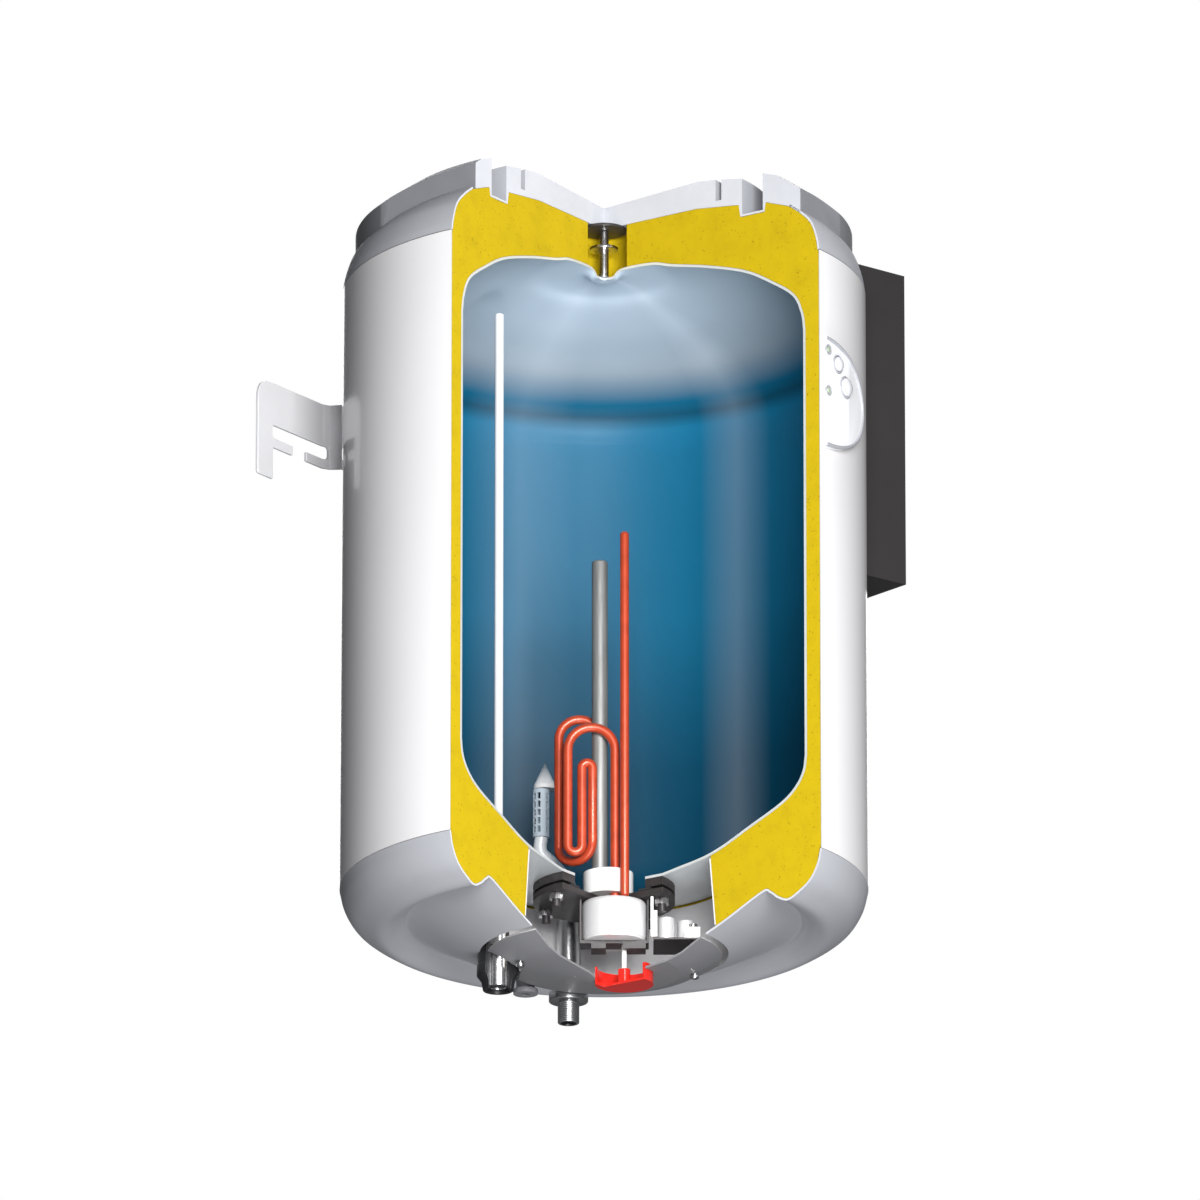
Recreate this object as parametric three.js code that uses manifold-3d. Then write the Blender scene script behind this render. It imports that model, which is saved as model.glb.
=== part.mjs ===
// Wall-hung electric storage water heater, sectioned: one quarter of the casing, caps,
// foam and tank is cut away so that the element, anode and thermostat show.
// Millimetres, +Z up. The sizes below are written about the tank's axis, with Z = 0 at the
// casing's lower edge; the last group moves the origin to the wall plane, level with the hooks.
import * as THREE from 'three';
import Module from 'manifold-3d';
import { mergeVertices } from 'three/addons/utils/BufferGeometryUtils.js';

const wasm = await Module();
wasm.setup();

// ---- Driving dimensions ----
const SEGMENTS = 36;             // facets round the large shells; a multiple of four
const SMALL_SEGMENTS = 14;       // facets round bosses, pins and pipes
const GAP = 0.3;                 // clearance between touching pieces
const CASING_RADIUS = 252.5;     // outside of the steel casing
const CASING_HEIGHT = 597;
const CASING_SHEET = 1;
const FOAM_THICKNESS = 15.3;     // at the side wall
const TANK_WALL = 2.5;
const TANK_BASE = 6;             // inside of the tank's flat base
const TANK_CROWN_RISE = 23;      // how far the tank's crown stands above the casing's top edge
const CAP_SKIN = 2;              // wall of the plastic caps
const CAP_BODY_BASE = 68.5;      // underside of the lid above the casing's top edge
const CROWN_SHARE = 0.9505;      // raised part of the lid, in casing radii
const CROWN_SHARE_X = 0.8436;    // its flats
const CROWN_SHARE_Y = 0.9125;
const TOP_HOLE_RADIUS = 27;      // hole through the foam under the lid
const SERVICE_HOLE_TOP = 124;    // radius of the service hole at the tank
const SERVICE_HOLE_FLARE = 6;    // wider by this at the lower cap
const DAM_WALL = 1.2;            // sleeve that lines the service hole
const CAP_RIM_INSET = 11;        // inner rim of the lower cap, inside the service hole
const COVER_MARGIN = 6;          // service cover, inside that rim
const FLANGE_RADIUS = 68;
const FLANGE_LAND = 20;          // width of the flange ring
const FLANGE_RING_HEIGHT = 8;
const FLANGE_PLATE_HEIGHT = 6;
const GASKET_HEIGHT = 2;
const GASKET_OVERHANG = 8;       // the gasket reaches this far inside the ring
const STUD_INSET = 9;            // from the flange's edge
const STUD_RADIUS = 4;
const STUD_LENGTH = 22;
const STUD_COUNT = 6;
const STUD_START = -15;          // degrees; the fifth stud falls in the removed quarter
const NUT_FLATS_RADIUS = 7.5;
const NUT_HEIGHT = 6.5;
const BUNDLE_ANGLE = -54.8;      // degrees: the line that the element's tubes stand along
const ELEMENT_RADIUS = 4.5;
const ELEMENT_OFFSET = 14;       // the element's two planes lie this far each side of the anode
const ANODE_RADIUS = 7.7;
const ANODE_LENGTH = 313;
const POCKET_RADIUS = 4.3;
const POCKET_TOP = 351;
const BOSS_RADIUS = 24;
const BOSS_TOP = 16;
const THERMOSTAT_Y = -12;
const DIAL_X = 5;                // the stem and dial stand to one side of the thermostat's axis
const DIAL_OFFSET_Y = -8;
const THERMOSTAT_RADIUS = 31;
const THERMOSTAT_TOP = -15;
const THERMOSTAT_HEIGHT = 39;
const FRAME_SHEET = 1.6;
const FRAME_WIDTH = 22;
const STEM_RADIUS = 2.4;
const DIAL_RADIUS = 28;
const DIAL_BASE = -95.5;
const DIAL_HEIGHT = 17;
const DIAL_WALL = 2.5;
const PIPE_INSET = 23.1;         // pipe centres, inside the service hole
const PIPE_ANGLE = 54.9;         // degrees from the X axis, behind the tank's axis
const NIPPLE_RADIUS = 10.5;
const NIPPLE_WALL = 3;
const NIPPLE_BASE = -105;
const UNION_LIFT = 9;            // the hot side ends this much higher
const HOT_TUBE_RADIUS = 4.3;
const HOT_TUBE_BORE = 3.1;
const HOT_TUBE_TOP_GAP = 41;     // below the tank's crown
const UNION_WALL = 9.7;
const WALL_GAP = 27;             // casing to the back of the hooks' front face
const BRACKET_SHEET = 3;
const BRACKET_DROP = 142;        // lower edge of the bracket's band, below the casing's top
const BRACKET_HEIGHT = 65;
const HOOK_OUTER = 182;          // half the bracket's full width
const HOOK_FOOT_WIDTH = 25;
const HOOK_FOOT_DROP = 32;
const HOOK_CORNER = 20;          // radius of the hooks' outer top corners
const SMALL_CORNER = 4;          // radius at the slots' ends and the feet
const ARM_X = 77;                // where the hooks turn in towards the casing
const WEB_X = 60;
const SLOT_CENTRE = 114;
const SLOT_WIDTH = 88;
const SLOT_HEIGHT = 13;
const SLOT_BASE = 9.5;           // above the band's lower edge
const SLOT_MOUTH = 22;
const PANEL_HALF_WIDTH = 84;
const PANEL_HALF_HEIGHT = 55;
const PANEL_DROP = 143;          // the panel's middle, below the casing's top
const PANEL_THICKNESS = 6.5;
const BUTTON_CLEARANCE = 0.4;
const BUTTON_DEPTH = 3.6;        // length of a button inside the panel
const BOX_ANGLE = -15;           // degrees: where the side housing sits on the casing
const BOX_HALF_WIDTH = 110;
const BOX_DEPTH = 36;
const BOX_DROP = 260;            // the housing's lower end, below the casing's top
const BOX_HEIGHT = 314;
const BOX_WALL = 3;

// ---- Values worked out from them ----
const degrees = Math.PI / 180;
const casingInner = CASING_RADIUS - CASING_SHEET;
const foamRadius = casingInner - GAP;
const tankOuter = foamRadius - FOAM_THICKNESS - GAP;
const tankInner = tankOuter - TANK_WALL;
const tankCrown = CASING_HEIGHT + TANK_CROWN_RISE;
const wallPlane = CASING_RADIUS + WALL_GAP + BRACKET_SHEET;
const bracketBase = CASING_HEIGHT - BRACKET_DROP;
const hookMiddle = bracketBase + BRACKET_HEIGHT / 2;
const panelMiddle = CASING_HEIGHT - PANEL_DROP;
const serviceHoleBase = SERVICE_HOLE_TOP + SERVICE_HOLE_FLARE;
const capInnerRadius = serviceHoleBase - CAP_RIM_INSET;
const coverRadius = capInnerRadius - COVER_MARGIN;
const flangeHole = FLANGE_RADIUS - FLANGE_LAND;
const studCircle = FLANGE_RADIUS - STUD_INSET;
const gasketInner = flangeHole - GASKET_OVERHANG;
const gasketOuter = studCircle - STUD_RADIUS - 1.5;
const pipeCircle = SERVICE_HOLE_TOP - PIPE_INSET;
const nippleBore = NIPPLE_RADIUS - NIPPLE_WALL;
const unionBore = NIPPLE_RADIUS + GAP;
const unionRadius = unionBore + UNION_WALL;
const ringTop = TANK_BASE - TANK_WALL - GAP;
const ringBase = ringTop - FLANGE_RING_HEIGHT;
const gasketTop = ringBase - GAP;
const gasketBase = gasketTop - GASKET_HEIGHT;
const plateTop = gasketBase - GAP;
const plateBase = plateTop - FLANGE_PLATE_HEIGHT;
const thermostatBase = THERMOSTAT_TOP - THERMOSTAT_HEIGHT;

// ---- Helpers ----
// A closed geometry as a solid: shared corners merged, flat triangles dropped, faces outward.
function solid(geometry) {
  const bare = geometry.clone();
  bare.deleteAttribute('normal');
  bare.deleteAttribute('uv');
  const merged = mergeVertices(bare, 1e-4);
  const index = merged.index.array;
  const corners = merged.attributes.position;
  const kept = [];
  let volume = 0;
  const a = new THREE.Vector3();
  const b = new THREE.Vector3();
  const c = new THREE.Vector3();
  for (let i = 0; i < index.length; i += 3) {
    const [p, q, r] = [index[i], index[i + 1], index[i + 2]];
    if (p === q || q === r || r === p) continue;
    kept.push([p, q, r]);
    a.fromBufferAttribute(corners, p);
    b.fromBufferAttribute(corners, q);
    c.fromBufferAttribute(corners, r);
    volume += a.dot(b.cross(c));
  }
  const triangles = kept.flatMap(([p, q, r]) => (volume < 0 ? [p, r, q] : [p, q, r]));
  return new wasm.Manifold(new wasm.Mesh({
    numProp: 3,
    vertProperties: new Float32Array(corners.array),
    triVerts: new Uint32Array(triangles),
  }));
}

function geometryOf(manifold) {
  const mesh = manifold.getMesh();
  const geometry = new THREE.BufferGeometry();
  geometry.setAttribute('position', new THREE.BufferAttribute(mesh.vertProperties, 3));
  geometry.setIndex(new THREE.BufferAttribute(mesh.triVerts, 1));
  geometry.computeVertexNormals();
  return geometry;
}

// A profile of [radius, height] pairs, turned about Z.
function revolve(points, segments = SEGMENTS) {
  const profile = points.map(([r, z]) => new THREE.Vector2(r, z));
  const onAxis = points[0][0] === 0 && points[points.length - 1][0] === 0;
  if (!onAxis) profile.push(profile[0].clone());
  return solid(new THREE.LatheGeometry(profile, segments).rotateX(Math.PI / 2));
}

function box(x0, x1, y0, y1, z0, z1) {
  const geometry = new THREE.BoxGeometry(x1 - x0, y1 - y0, z1 - z0);
  return solid(geometry.translate((x0 + x1) / 2, (y0 + y1) / 2, (z0 + z1) / 2));
}

function cylinder(radius, z0, z1, x = 0, y = 0, segments = SMALL_SEGMENTS) {
  const geometry = new THREE.CylinderGeometry(radius, radius, z1 - z0, segments);
  return solid(geometry.rotateX(Math.PI / 2).translate(x, y, (z0 + z1) / 2));
}

function pipe(outer, inner, z0, z1, x = 0, y = 0) {
  return cylinder(outer, z0, z1, x, y).subtract(cylinder(inner, z0 - 1, z1 + 1, x, y));
}

// An outline drawn in a plane, pulled straight up from z0 to z1.
function prism(outline, z0, z1) {
  const shape = new THREE.Shape(outline.map(([x, y]) => new THREE.Vector2(x, y)));
  const geometry = new THREE.ExtrudeGeometry(shape, { depth: z1 - z0, bevelEnabled: false });
  return solid(geometry.translate(0, 0, z0));
}

// A round tube along a curve.
function tubeAlong(curve, radius, steps, sides = 10) {
  const ring = new THREE.Shape();
  ring.absarc(0, 0, radius, 0, 2 * Math.PI, false);
  return solid(new THREE.ExtrudeGeometry(ring, {
    steps,
    curveSegments: sides / 2,
    extrudePath: curve,
    bevelEnabled: false,
  }));
}

// The same open line moved sideways by a distance, to the left of its direction.
function offsetLine(points, distance) {
  return points.map(([r, z], i) => {
    const before = points[Math.max(i - 1, 0)];
    const after = points[Math.min(i + 1, points.length - 1)];
    const first = new THREE.Vector2(r - before[0], z - before[1]).normalize();
    const second = new THREE.Vector2(after[0] - r, after[1] - z).normalize();
    const along = first.clone().add(second).normalize();
    const square = second.lengthSq() > 0 ? second : first;
    const stretch = distance / Math.max(along.dot(square), 0.6);
    return [Math.max(r - along.y * stretch, 0), z + along.x * stretch];
  });
}

// A thin shell: an open line given a thickness.
function shellProfile(points, thickness) {
  return [...points, ...offsetLine(points, thickness).reverse()];
}

// Where a line crosses a radius.
function pointAtRadius(points, radius) {
  for (let i = 1; i < points.length; i += 1) {
    const [r0, z0] = points[i - 1];
    const [r1, z1] = points[i];
    if ((r0 - radius) * (r1 - radius) <= 0 && r0 !== r1) {
      return [radius, z0 + ((z1 - z0) * (radius - r0)) / (r1 - r0)];
    }
  }
  throw new Error(`the line never reaches radius ${radius}`);
}

// A place in the element's own plan frame: along the row of tubes, and in front of it.
const bundleTurn = BUNDLE_ANGLE * degrees;
function bundle(along, front) {
  return [
    Math.cos(bundleTurn) * along + Math.sin(bundleTurn) * front,
    Math.sin(bundleTurn) * along - Math.cos(bundleTurn) * front,
  ];
}

// The removed quarter: x below 0 and y below 0.
const reach = 2 * CASING_RADIUS;
const quarter = box(-reach, 0, -reach, 0, -reach, CASING_HEIGHT + reach);
const sectioned = (whole) => whole.subtract(quarter);

const heater = new THREE.Group();
function add(name, manifold, color, roughness, metalness = 0) {
  const material = new THREE.MeshStandardMaterial({ color, roughness, metalness });
  const mesh = new THREE.Mesh(geometryOf(manifold), material);
  mesh.name = name;
  heater.add(mesh);
}

// ---- Casing ----
add('casing_mantle', sectioned(revolve([
  [CASING_RADIUS, GAP], [CASING_RADIUS, CASING_HEIGHT - GAP],
  [casingInner, CASING_HEIGHT - GAP], [casingInner, GAP],
])), 0xf1eff0, 0.35);

// ---- Lid: [radius in casing radii, height above the casing's top edge] ----
const raise = ([r, z]) => [r, z + CASING_HEIGHT];
const shared = ([share, z]) => [share * CASING_RADIUS, z];
const grooveInner = 0.6432 * CASING_RADIUS;
const grooveOuter = 0.739 * CASING_RADIUS;
const grooveFloor = 52.4;
const capRim = CASING_RADIUS - CAP_SKIN - GAP;
const lidUnderside = [
  ...[[0, CAP_BODY_BASE], [0.4297, CAP_BODY_BASE], [0.6273, 62.9]].map(shared),
  [grooveInner - CAP_SKIN, grooveFloor - CAP_SKIN], [grooveOuter + CAP_SKIN, grooveFloor - CAP_SKIN],
  ...[[0.7529, 59.5], [0.8594, 50.4], [0.9085, 41.4], [CROWN_SHARE, 31.3]].map(shared),
  [capRim - 5.2, 22.3], [capRim - 1.4, 9.7], [capRim, GAP],
].map(raise);
const crownStart = 9;
const skirtStart = 5;
const lidTop = [
  ...[[CROWN_SHARE, 36], [CROWN_SHARE, 58], [0.9125, 65.9], [0.844, 77.6], [0.806, 84.1]].map(shared),
  [grooveOuter, 89.6], [grooveOuter, grooveFloor], [grooveInner, grooveFloor], [grooveInner, 88.6],
  ...[[0.5473, 92.5], [0.5473, 72], [0.5208, 72], [0.5208, 93.4], [0.4372, 95.6], [0, 89.6]].map(shared),
].map(raise);
const flatX = CROWN_SHARE_X * CASING_RADIUS;
const flatY = CROWN_SHARE_Y * CASING_RADIUS;
const crown = revolve([...lidUnderside.slice(0, crownStart), ...lidTop])
  .intersect(box(-flatX, flatX, -flatY, flatY, 0, reach * 2));
const lidSkin = revolve(shellProfile(lidUnderside.slice(skirtStart), CAP_SKIN));
add('top_cap', sectioned(crown.add(lidSkin)), 0xb9bbc0, 0.5);

// ---- Lower cap: [share of the way from the casing to the inner rim, height] ----
const lowerCapLine = [
  [0, -GAP], [0.029, -15.1], [0.094, -29.2], [0.194, -39.2], [0.295, -45.2], [0.381, -41.2],
  [0.453, -34.2], [0.518, -33.2], [0.813, -52.3], [1, -63.3],
].map(([share, z]) => [CASING_RADIUS - share * (CASING_RADIUS - capInnerRadius), z]);
const pipePlace = (side) => [
  side * pipeCircle * Math.cos(PIPE_ANGLE * degrees), pipeCircle * Math.sin(PIPE_ANGLE * degrees)];
const pipePlaces = { hot: pipePlace(-1), cold: pipePlace(1) };
const unionHole = unionRadius + 1.5;
add('bottom_cap', sectioned(revolve(shellProfile(lowerCapLine, -CAP_SKIN))
  .subtract(cylinder(unionHole, -reach, 0, ...pipePlaces.hot))), 0xaeb0b6, 0.5);

// ---- Tank: dome lines, each [share of the way from the first radius to the wall, height] ----
const dome = (start, rows) => rows.map(([share, z]) => [start + share * (tankInner - start), z]);
const baseDome = dome(FLANGE_RADIUS, [
  [0.054, 7.5], [0.343, 17], [0.623, 37], [0.832, 53], [0.932, 66], [0.985, 80], [1, 95]]);
const crownDome = dome(0, [
  [1, 100], [0.988, 83], [0.947, 64], [0.836, 46], [0.708, 30], [0.523, 17], [0.342, 7.5],
  [0.243, 1.5], [0.094, 0.5], [0.05, 6.5], [0, 6.5],
]).map(([r, drop]) => [r, tankCrown - drop]);
const crownDip = crownDome[crownDome.length - 1][1];
const tankLine = [[flangeHole, TANK_BASE], [FLANGE_RADIUS, TANK_BASE], ...baseDome, ...crownDome];
const tankOutside = offsetLine(tankLine, -TANK_WALL);
let tank = revolve([...tankLine, ...tankOutside.slice().reverse()]);
for (const place of Object.values(pipePlaces)) {
  tank = tank.subtract(cylinder(NIPPLE_RADIUS + GAP, -reach, CASING_HEIGHT / 2, ...place));
}
add('tank_shell', sectioned(tank), 0x1f6e9c, 0.25, 0.3);

// ---- Foam between casing, caps and tank ----
const foamInside = offsetLine(tankOutside, -GAP).reverse();
const isUpper = ([, z]) => z > CASING_HEIGHT / 2;
const foamHoleTop = pointAtRadius(foamInside.filter((point) => !isUpper(point)), SERVICE_HOLE_TOP);
const foamDip = pointAtRadius(foamInside, TOP_HOLE_RADIUS);
const lowerFoamLine = offsetLine(lowerCapLine, -CAP_SKIN - GAP);
const foamHoleBase = pointAtRadius(lowerFoamLine, serviceHoleBase);
const foamTopLine = offsetLine(lidUnderside, -GAP);
const foamTopEdge = pointAtRadius(foamTopLine, TOP_HOLE_RADIUS);
const foamRim = capRim - GAP;
add('foam_insulation', sectioned(revolve([
  foamTopEdge, foamDip,
  ...foamInside.filter((point) => point[0] > (isUpper(point) ? TOP_HOLE_RADIUS : SERVICE_HOLE_TOP)),
  foamHoleTop, foamHoleBase,
  ...lowerFoamLine.filter(([r]) => r > serviceHoleBase && r < foamRim - 2).reverse(),
  [foamRim - 1, 0], [foamRadius, 4], [foamRadius, CASING_HEIGHT - 4], [foamRim, CASING_HEIGHT],
  ...foamTopLine.filter(([r]) => r > TOP_HOLE_RADIUS && r < foamRim - 1).reverse(),
])), 0xe6c800, 0.9);

// ---- Sleeve round the service hole ----
const damTop = foamHoleTop[1] - 2.5;
const damBase = foamHoleBase[1] + 1;
add('foam_dam', sectioned(revolve([
  [SERVICE_HOLE_TOP - GAP, damTop], [SERVICE_HOLE_TOP - GAP - DAM_WALL, damTop],
  [serviceHoleBase - GAP - DAM_WALL, damBase], [serviceHoleBase - GAP, damBase],
])), 0xd9d7d8, 0.6);

// ---- Service cover under the thermostat ----
const coverLine = [[1, -65.5], [0.798, -77.4], [0.637, -82.4], [0.212, -87.5], [0, -93.5]]
  .map(([share, z]) => [share * coverRadius, z]);
let cover = revolve(shellProfile(coverLine, -CAP_SKIN));
const dialPlace = [DIAL_X, THERMOSTAT_Y + DIAL_OFFSET_Y];
cover = cover.subtract(cylinder(DIAL_RADIUS + 2 * GAP, -reach, 0, ...dialPlace, 32));
for (const place of Object.values(pipePlaces)) {
  cover = cover.subtract(cylinder(unionHole, -reach, 0, ...place));
}
const screwRadius = 2.2;
const screwHead = 4.2;
const around = (radius, angle) => [radius * Math.cos(angle * degrees), radius * Math.sin(angle * degrees)];
const coverScrews = [around(coverRadius - 25.3, -45), around(coverRadius - 28.1, 145.6)];
const glandRadius = 9;
const glandPlace = around(pipeCircle - 1, 83.9);
cover = cover.subtract(cylinder(glandRadius + GAP, -reach, 0, ...glandPlace));
for (const place of coverScrews) {
  cover = cover.subtract(cylinder(screwRadius + GAP, -reach, 0, ...place));
}
add('service_cover', sectioned(cover), 0x8f9093, 0.5);
coverScrews.forEach(([x, y], i) => {
  const seat = pointAtRadius(coverLine, Math.hypot(x, y))[1];
  const head = cylinder(screwHead, seat - 5.2, seat - 2.4, x, y);
  const shank = cylinder(screwRadius, seat - 3, seat + 12, x, y);
  add(`cover_screw_${i + 1}`, head.add(shank), 0x9a9a9c, 0.3, 1);
});

// ---- Flange: ring with studs, gasket, plate and nuts, sectioned with the tank ----
const studPlaces = [];
for (let i = 0; i < STUD_COUNT; i += 1) {
  const [x, y] = around(studCircle, STUD_START + (i * 360) / STUD_COUNT);
  if (x > 0 || y > 0) studPlaces.push([x, y]);
}
let ring = sectioned(cylinder(FLANGE_RADIUS, ringBase, ringTop, 0, 0, SEGMENTS)
  .subtract(cylinder(flangeHole, ringBase - 1, ringTop + 1, 0, 0, SEGMENTS)));
for (const place of studPlaces) {
  ring = ring.add(cylinder(STUD_RADIUS, ringBase - STUD_LENGTH, ringBase + 1, ...place, 12));
}
add('flange_ring', ring, 0x3a3637, 0.5, 0.8);
add('flange_gasket', sectioned(cylinder(gasketOuter, gasketBase, gasketTop, 0, 0, SEGMENTS)
  .subtract(cylinder(gasketInner, gasketBase - 1, gasketTop + 1, 0, 0, SEGMENTS))), 0x191919, 0.8);

// ---- Heating element: one tube, folded in two planes about the anode ----
const anodePlace = bundle(-4, 0);
const pocketPlace = bundle(19.7, 26);
const elementEnd = plateBase - 0.8;
const legFront = 2.356 * ELEMENT_RADIUS;
const legBack = -0.844 * ELEMENT_RADIUS;
const planeFront = ELEMENT_OFFSET;
const planeBack = -ELEMENT_OFFSET;
const straightTop = 40;
// Each bend: [from, to] in tube radii along the row, height, 1 over or -1 under, planes, steps.
const elementBends = [
  [2.356, -7.689, 136, 1, planeFront, planeFront, 8],
  [-7.689, -4.689, 41, -1, planeFront, planeFront, 6],
  [-4.689, -2.444, 118, 1, planeFront, planeFront, 6],
  [-2.444, -9.6, 45, -1, planeFront, planeBack, 8],
  [-9.6, -0.844, 155, 1, planeBack, planeBack, 8],
];
const elementPoints = [];
function elementPoint(along, front, z) {
  elementPoints.push(new THREE.Vector3(...bundle(along, front), z));
}
elementPoint(legFront, planeFront, elementEnd);
elementPoint(legFront, planeFront, straightTop);
for (const [from, to, z, up, frontFrom, frontTo, steps] of elementBends) {
  const middle = ((from + to) / 2) * ELEMENT_RADIUS;
  const radius = ((from - to) / 2) * ELEMENT_RADIUS;
  for (let i = 0; i <= steps; i += 1) {
    const turn = (i / steps) * Math.PI;
    const front = frontFrom + ((frontTo - frontFrom) * i) / steps;
    elementPoint(middle + radius * Math.cos(turn), front, z + up * Math.abs(radius) * Math.sin(turn));
  }
}
elementPoint(legBack, planeBack, straightTop);
elementPoint(legBack, planeBack, elementEnd);
const elementCurve = new THREE.CatmullRomCurve3(elementPoints, false, 'centripetal');
add('heating_element', tubeAlong(elementCurve, ELEMENT_RADIUS, 96, 8), 0xc0452a, 0.35, 0.5);

// ---- Boss on the flange plate that the legs and the anode's stud come through ----
const anodeStud = 4;
const throughs = [
  [bundle(legFront, planeFront), ELEMENT_RADIUS],
  [bundle(legBack, planeBack), ELEMENT_RADIUS],
  [anodePlace, anodeStud],
];
const bossPlace = bundle(4, 2);
let boss = cylinder(BOSS_RADIUS, plateTop + GAP, BOSS_TOP, ...bossPlace, 32);
let plate = cylinder(FLANGE_RADIUS, plateBase, plateTop, 0, 0, SEGMENTS);
for (const [place, radius] of throughs) {
  boss = boss.subtract(cylinder(radius + GAP, -reach, reach, ...place));
  plate = plate.subtract(cylinder(radius + GAP, -reach, reach, ...place));
}
plate = plate.subtract(cylinder(POCKET_RADIUS + GAP, -reach, reach, ...pocketPlace));
for (const place of studPlaces) {
  plate = plate.subtract(cylinder(STUD_RADIUS + 0.5, -reach, reach, ...place, 12));
}
add('flange_plate', sectioned(plate), 0x4b4748, 0.45, 0.7);
add('element_boss', boss, 0xf4f4f4, 0.4);
studPlaces.forEach((place, i) => {
  const nut = cylinder(NUT_FLATS_RADIUS, plateBase - GAP - NUT_HEIGHT, plateBase - GAP, ...place, 6)
    .subtract(cylinder(STUD_RADIUS + GAP, -reach, reach, ...place, 12));
  add(`flange_nut_${i + 1}`, nut, 0xc8c8c8, 0.3, 1);
});

// ---- Anode and thermostat pocket ----
const anode = cylinder(ANODE_RADIUS, BOSS_TOP + GAP, BOSS_TOP + ANODE_LENGTH, ...anodePlace);
const anodeTail = cylinder(anodeStud, elementEnd, BOSS_TOP + 1, ...anodePlace);
add('anode_rod', anode.add(anodeTail), 0x8d8f8e, 0.5, 0.6);
const pocket = cylinder(POCKET_RADIUS, elementEnd, POCKET_TOP, ...pocketPlace, 16);
add('thermostat_pocket', pocket, 0xc0452a, 0.35, 0.5);

// ---- Thermostat, its frame, stem and dial ----
const can = cylinder(THERMOSTAT_RADIUS, thermostatBase, THERMOSTAT_TOP, 0, THERMOSTAT_Y, SEGMENTS);
add('thermostat_body', can, 0xe9e9ea, 0.3, 0.2);
const frameReach = THERMOSTAT_RADIUS + GAP + FRAME_SHEET;
const bundleMatrix = new THREE.Matrix4().makeRotationZ(bundleTurn);
function framed(x0, x1, z0, z1) {
  const geometry = new THREE.BoxGeometry(x1 - x0, FRAME_WIDTH, z1 - z0);
  geometry.translate((x0 + x1) / 2, 0, (z0 + z1) / 2);
  return solid(geometry.applyMatrix4(bundleMatrix).translate(0, THERMOSTAT_Y, 0));
}
const frameTop = plateBase - GAP;
const frameFloor = thermostatBase - GAP;
const frameFloorBase = frameFloor - 3;
const footBase = frameFloorBase - 5;
const frame = framed(-frameReach, frameReach, frameFloorBase, frameFloor)
  .add(framed(-frameReach, FRAME_SHEET - frameReach, frameFloorBase, frameTop))
  .add(framed(frameReach - FRAME_SHEET, frameReach, frameFloorBase, frameTop))
  .add(framed(-22, -8, footBase, frameFloor))
  .add(framed(8, 30, footBase, frameFloor))
  .subtract(cylinder(STEM_RADIUS + 2, -reach, 0, ...dialPlace));
add('thermostat_frame', frame, 0x332f30, 0.5, 0.4);
const dialTop = DIAL_BASE + DIAL_HEIGHT;
const hubTop = dialTop - 2;
const hubRadius = 6;
add('adjuster_stem', cylinder(STEM_RADIUS, hubTop + GAP, thermostatBase - 0.6, ...dialPlace), 0xf2f2f2, 0.4);
const dialCup = cylinder(DIAL_RADIUS, DIAL_BASE, dialTop, ...dialPlace, SEGMENTS)
  .subtract(cylinder(DIAL_RADIUS - DIAL_WALL, DIAL_BASE + DIAL_WALL, reach, ...dialPlace, SEGMENTS))
  .add(cylinder(hubRadius, DIAL_BASE + 1, hubTop, ...dialPlace));
add('adjuster_dial', sectioned(dialCup), 0xd41f12, 0.3);

// ---- Supply terminals on a bracket held by two posts, beyond the thermostat's frame ----
const deckStart = frameReach + THERMOSTAT_Y * Math.sin(bundleTurn) + 4.3;
const deckLength = 47;
const deckFront = 30;
const deckBack = -24;
const deckTop = -55;
const deckThickness = 2;
const deckSeat = deckTop + GAP;
const postRadius = 8;
const postTop = ringBase - STUD_LENGTH - 1;
function onDeck(from, to, front, back, z0, z1) {
  const geometry = new THREE.BoxGeometry(to - from, front - back, z1 - z0);
  geometry.translate(deckStart + (from + to) / 2, -(front + back) / 2, (z0 + z1) / 2);
  return solid(geometry.applyMatrix4(bundleMatrix));
}
const deck = onDeck(0, deckLength, deckFront, deckBack, deckTop - deckThickness, deckTop);
add('terminal_bracket', deck, 0x3a3839, 0.5, 0.5);
[[12, 0], [31, -12]].forEach(([along, front], i) => {
  const post = cylinder(postRadius, deckSeat, postTop, ...bundle(deckStart + along, front));
  add(`bracket_post_${i + 1}`, post, 0xb0b0b0, 0.3, 0.8);
});
const [lastX, lastY] = studPlaces[studPlaces.length - 1];
const lastStud = lastX * Math.cos(bundleTurn) + lastY * Math.sin(bundleTurn);
const blockStart = lastStud - NUT_FLATS_RADIUS - 3.5 - deckStart;
const blockTop = postTop - 1;
const terminalBlock = onDeck(blockStart, 3.8, 33, 21, deckSeat, blockTop)
  .add(onDeck(blockStart, blockStart + 2.8, 32, 23, blockTop - 1, blockTop + 14));
add('terminal_block', terminalBlock, 0xf3f3f3, 0.45);
const clampHeight = 16;
const clampHole = 2.8;
const clampScrewRadius = 2.5;
const clampPlace = bundle(deckStart + 38, 6);
add('cable_clamp', onDeck(31, 45, 12, 0, deckSeat, deckTop + clampHeight)
  .subtract(cylinder(clampHole, -reach, reach, ...clampPlace)), 0xf1f1f1, 0.45);
const clampScrew = cylinder(clampScrewRadius, deckTop + 2, deckTop + clampHeight + 2, ...clampPlace, 12)
  .add(cylinder(screwHead, deckTop + clampHeight + GAP, deckTop + clampHeight + 3.5, ...clampPlace, 12));
add('clamp_screw', clampScrew, 0xc9c9c9, 0.3, 1);

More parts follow.
